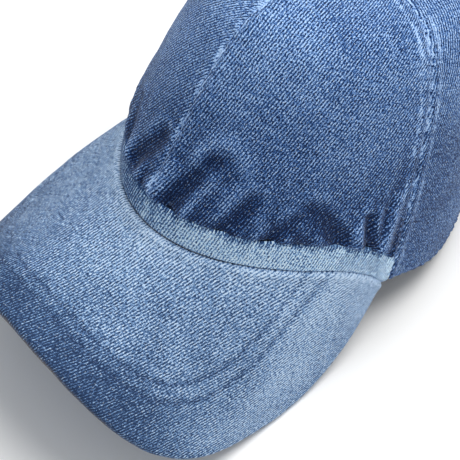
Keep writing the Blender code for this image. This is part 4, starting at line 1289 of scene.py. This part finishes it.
ARCH_FOOT_Y = BACK_REACH * (1 - (ARCH_HALF_WIDTH / HALF_WIDTH) ** PLAN_POWER) ** (1 / PLAN_POWER)
ARC_SAGITTA = BACK_REACH - ARCH_FOOT_Y
ARC_RADIUS = (ARCH_HALF_WIDTH ** 2 + ARC_SAGITTA ** 2) / (2 * ARC_SAGITTA)
ARC_CENTRE_Y = BACK_REACH - ARC_RADIUS
TAB_OUTER = ARC_RADIUS - CLOTH - TAB_CLEARANCE
STRAP_OUTER = TAB_OUTER - TAB_CLOTH - GAP
STRAP_MIDDLE = STRAP_BOTTOM + STRAP_HEIGHT / 2


def ribbon(name, path, outward, low, high, thickness, body, finish, node, edge=0.0004):
    """A flat strip with rounded edges, standing on a plan path, with the path in its middle."""
    tall = np.linspace(low + edge, high - edge, 14)
    half = thickness / 2
    section = [(half - edge + edge * math.cos(t), low + edge + edge * math.sin(t))
               for t in (-1.57, -0.785, 0.0)]
    section += [(half, z) for z in tall[1:-1]]
    section += [(half - edge + edge * math.cos(t), high - edge + edge * math.sin(t))
                for t in (0.0, 0.785, 1.57)]
    section = section + [(-off, z) for off, z in reversed(section)]
    points, cloth, wear_and_painted_light = [], [], []
    away = run_length(path)
    for spot, side, run in zip(path, outward, away):
        for off, z in section:
            points.append((spot[0] + side[0] * off, spot[1] + side[1] * off, z))
            cloth.append((run / MM, z / MM, 0.0))
            rim = min(z - low, high - z)
            wear_and_painted_light.append(0.9 * math.exp(-rim / 0.0007) - 0.35 * math.exp(-((rim - 0.0022) / 0.0005) ** 2))
    count = len(section)
    faces = ring_quads(0, len(path) - 1, count)
    faces.append(tuple(reversed(range(count))))
    faces.append(tuple((len(path) - 1) * count + step for step in range(count)))
    points = np.array(points)
    wear_and_painted_light = np.array(wear_and_painted_light) + 0.35 * noise(points, 0.009, 91)
    tone = np.stack([wear_and_painted_light, 0 * wear_and_painted_light, 0 * wear_and_painted_light], -1)
    return stand_for(make_object(name, points, faces, body, finish, np.array(cloth), tone), node)


def arc_path(radius, start, end, count):
    turn = np.radians(np.linspace(start, end, count))
    side = np.stack([np.sin(turn), np.cos(turn)], -1)
    return side * radius + (0.0, ARC_CENTRE_Y), side


def flat_row(path, side, height, lift):
    """A line of stitching along a strip, at one height, on its outer face."""
    spots = np.concatenate([path + side * lift, np.full((len(path), 1), height)], -1)
    return spots, np.concatenate([side, np.zeros((len(side), 1))], -1)


def make_strap(finish):
    path, side = arc_path(STRAP_OUTER - STRAP_CLOTH / 2, STRAP_START, STRAP_END, 130)
    made = ribbon("strap_denim", path, side, STRAP_BOTTOM, STRAP_BOTTOM + STRAP_HEIGHT, STRAP_CLOTH, "strap",
                  finish, "adjust_strap")
    half = STRAP_CLOTH / 2 - 0.00015
    rows = []
    for height in (STRAP_BOTTOM + 0.0022, STRAP_BOTTOM + STRAP_HEIGHT - 0.0022):
        rows.append(flat_row(path, side, height, half))
        rows.append(flat_row(path[::-1], -side[::-1], height, half))
    return made, rows


def clasp_spot(x, y):
    """A point of the clasp's frame in plan, x along the strap and y outwards."""
    turn = math.radians(CLASP_ANGLE)
    return (math.sin(turn) * (STRAP_OUTER + y) + math.cos(turn) * x,
            ARC_CENTRE_Y + math.cos(turn) * (STRAP_OUTER + y) - math.sin(turn) * x)


def make_tab(finish):
    """Two layers of denim from under the panel, folded round the clasp's bar."""
    bar = np.array(clasp_spot(BAR_X, BAR_Y)) - (0.0, ARC_CENTRE_Y)
    bar_turn = math.atan2(bar[0], bar[1])
    bar_reach = float(np.hypot(*bar))
    layer = TAB_CLOTH / 2 - 0.0001
    share = np.linspace(1, 0, 60)
    turn = bar_turn + math.radians(1.9) + (math.radians(TAB_ROOT) - bar_turn - math.radians(1.9)) * share
    flat_reach = TAB_OUTER - TAB_CLOTH / 2
    reach = bar_reach + (flat_reach - bar_reach) * smooth(share * 2.6)
    side = np.stack([np.sin(turn), np.cos(turn)], -1)
    outer = side * (reach + TAB_CLOTH / 4)[:, None]
    inner = (side * (reach - TAB_CLOTH / 4)[:, None])[::-1]
    loop_radius = BAR_RADIUS + 0.0003 + layer / 2 + 0.0001
    radial = bar / bar_reach
    ahead = np.array([radial[1], -radial[0]])
    bend = np.linspace(math.radians(40), math.radians(320), 26)
    loop = bar + loop_radius * (np.cos(bend)[:, None] * ahead + np.sin(bend)[:, None] * radial)
    path = np.concatenate([outer, loop, inner]) + (0.0, ARC_CENTRE_Y)
    path = smooth_path(path, 6)
    run = unit(np.gradient(path, axis=0))
    normal = np.stack([-run[:, 1], run[:, 0]], -1)
    if (normal[0] @ side[0]) < 0:
        normal = -normal
    low, high = STRAP_MIDDLE - TAB_HEIGHT / 2, STRAP_MIDDLE + TAB_HEIGHT / 2
    ribbon("tab_denim", path, normal, low, high, layer, "cap", finish, "clasp_tab", edge=0.0003)
    rows = []
    for height in (low + 0.0020, high - 0.0020):
        rows.append(flat_row(path[2:52], normal[2:52], height, layer / 2 - 0.0001))
    spot = path[44]
    tall = np.linspace(low + 0.002, high - 0.002, 30)
    across = np.stack([np.full(30, spot[0]), np.full(30, spot[1]), tall], -1)
    up = np.broadcast_to(np.append(normal[44], 0.0), (30, 3))
    rows.append((across + up * (layer / 2 - 0.0001), up))
    return rows


def smooth_path(path, times):
    path = path.copy()
    for _ in range(times):
        path[1:-1] = (path[:-2] + 2 * path[1:-1] + path[2:]) / 4
    return path


# ---- camera, light and floor ---------------------------------------------------------------------------

def make_camera():
    azimuth, elevation, roll = map(math.radians, CAMERA_TURN)
    back = Vector((math.sin(azimuth) * math.cos(elevation), -math.cos(azimuth) * math.cos(elevation),
                   math.sin(elevation)))
    right = Vector((math.cos(azimuth), math.sin(azimuth), 0.0))
    up = back.cross(right)
    right2 = right * math.cos(roll) + up * math.sin(roll)
    up2 = up * math.cos(roll) - right * math.sin(roll)
    spot = Vector(CAMERA_TARGET) + back * CAMERA_DISTANCE
    local = Matrix((right2, up2, back)).transposed().to_4x4()
    local.translation = spot
    data = bpy.data.cameras.new("camera")
    data.sensor_width = 36.0
    data.lens = CAMERA_LENS
    data.shift_x = CAMERA_SHIFT
    data.clip_start = 0.05
    data.clip_end = 20.0
    camera = bpy.data.objects.new("camera", data)
    bpy.context.scene.collection.objects.link(camera)
    camera.matrix_world = CAP @ local
    bpy.context.scene.camera = camera


def area_light(name, spot, size, power, colour=(1, 1, 1)):
    data = bpy.data.lights.new(name, "AREA")
    data.shape = "DISK"
    data.size = size
    data.energy = power
    data.color = colour
    light = bpy.data.objects.new(name, data)
    bpy.context.scene.collection.objects.link(light)
    light.location = spot
    light.rotation_mode = "QUATERNION"
    light.rotation_quaternion = (Vector(LIT_SPOT) - Vector(spot)).to_track_quat("-Z", "Y")


def make_stage():
    floor_nodes = Nodes("pale_floor")
    floor_finish = floor_nodes.finish((0.93, 0.93, 0.93, 1.0), 0.9, specular=0.1)
    data = bpy.data.meshes.new("floor")
    reach = 6.0
    data.from_pydata([(-reach, -reach, 0), (reach, -reach, 0), (reach, reach, 0), (-reach, reach, 0)], [],
                     [(0, 1, 2, 3)])
    data.materials.append(floor_finish)
    floor = bpy.data.objects.new("floor", data)
    bpy.context.scene.collection.objects.link(floor)
    floor.location.z = -0.0003
    world = bpy.data.worlds.new("studio")
    world.use_nodes = True
    sky = world.node_tree.nodes["Background"]
    sky.inputs[0].default_value = (0.96, 0.98, 1.0, 1.0)
    sky.inputs[1].default_value = 0.55
    bpy.context.scene.world = world
    area_light("key", (0.12, 0.42, 1.25), 0.9, 15.5, (1.0, 0.99, 0.97))
    area_light("side", (-1.0, 0.6, 0.7), 0.8, 1.5)
    bpy.context.scene.view_settings.view_transform = "Standard"


# ---- everything together -------------------------------------------------------------------------------

def refinish(name, finish):
    """Give a CAD node that stays in view its own finish."""
    node = frame["nodes"][name]
    for holder in node.material_slots:
        holder.material = finish


def main():
    make_camera()
    make_stage()
    reverse = (0.20, 0.26, 0.34)
    crown_denim = denim("washed_denim", INDIGO, reverse, 19.0, middle=0.355, contrast=3.3, period=1.45)
    visor_denim = denim("visor_denim", VISOR_BLUE, reverse, -10.0, middle=0.415, contrast=3.0, period=1.40)
    band_denim = denim("band_denim", BAND_BLUE, BAND_REVERSE, 16.0, middle=0.61, contrast=4.2,
                       period=1.43)
    tape_cotton = cotton("navy_cotton", (0.020, 0.035, 0.080), (0.085, 0.130, 0.240))
    blue_thread = thread("blue_thread", (0.030, 0.070, 0.190), (0.150, 0.240, 0.430))
    brass = antique_brass()

    panels = make_crown(crown_denim)
    band = make_front_band(band_denim)
    top = make_visor_top(visor_denim)
    under = make_visor_under(visor_denim)
    sweatband, sweat_rows = make_sweatband(tape_cotton)
    tape_rows = make_tapes(tape_cotton)
    facing_rows = make_facing(tape_cotton)
    make_eyelets(blue_thread)
    make_button(crown_denim)
    strap, strap_rows = make_strap(crown_denim)
    tab_rows = make_tab(crown_denim)

    stitches("stitching_visor", visor_rows(False), "cap", blue_thread, 0.0027, 0.0007, 0.00026, 101)
    stitches("stitching_visor_under", visor_rows(True), "cap", blue_thread, 0.0027, 0.0007, 0.00026, 102)
    stitches("stitching_seams", seam_rows(SEAM_TOPSTITCH), "cap", blue_thread, seed=103)
    stitches("stitching_arch", arch_rows(), "cap", blue_thread, seed=104)
    stitches("stitching_hem", hem_rows(), "cap", blue_thread, seed=105)
    stitches("stitching_inside", sweat_rows + tape_rows + facing_rows, "cap", blue_thread, seed=106)
    stitches("stitching_strap", strap_rows, "strap", blue_thread, radius=0.00022, seed=107)
    stitches("stitching_tab", tab_rows, "cap", blue_thread, radius=0.00022, seed=108)

    for name in ("clasp_base", "clasp_pin", "clasp_lever", "button_rivet"):
        refinish(name, brass)
    refinish("visor_board", board_plastic())


main()
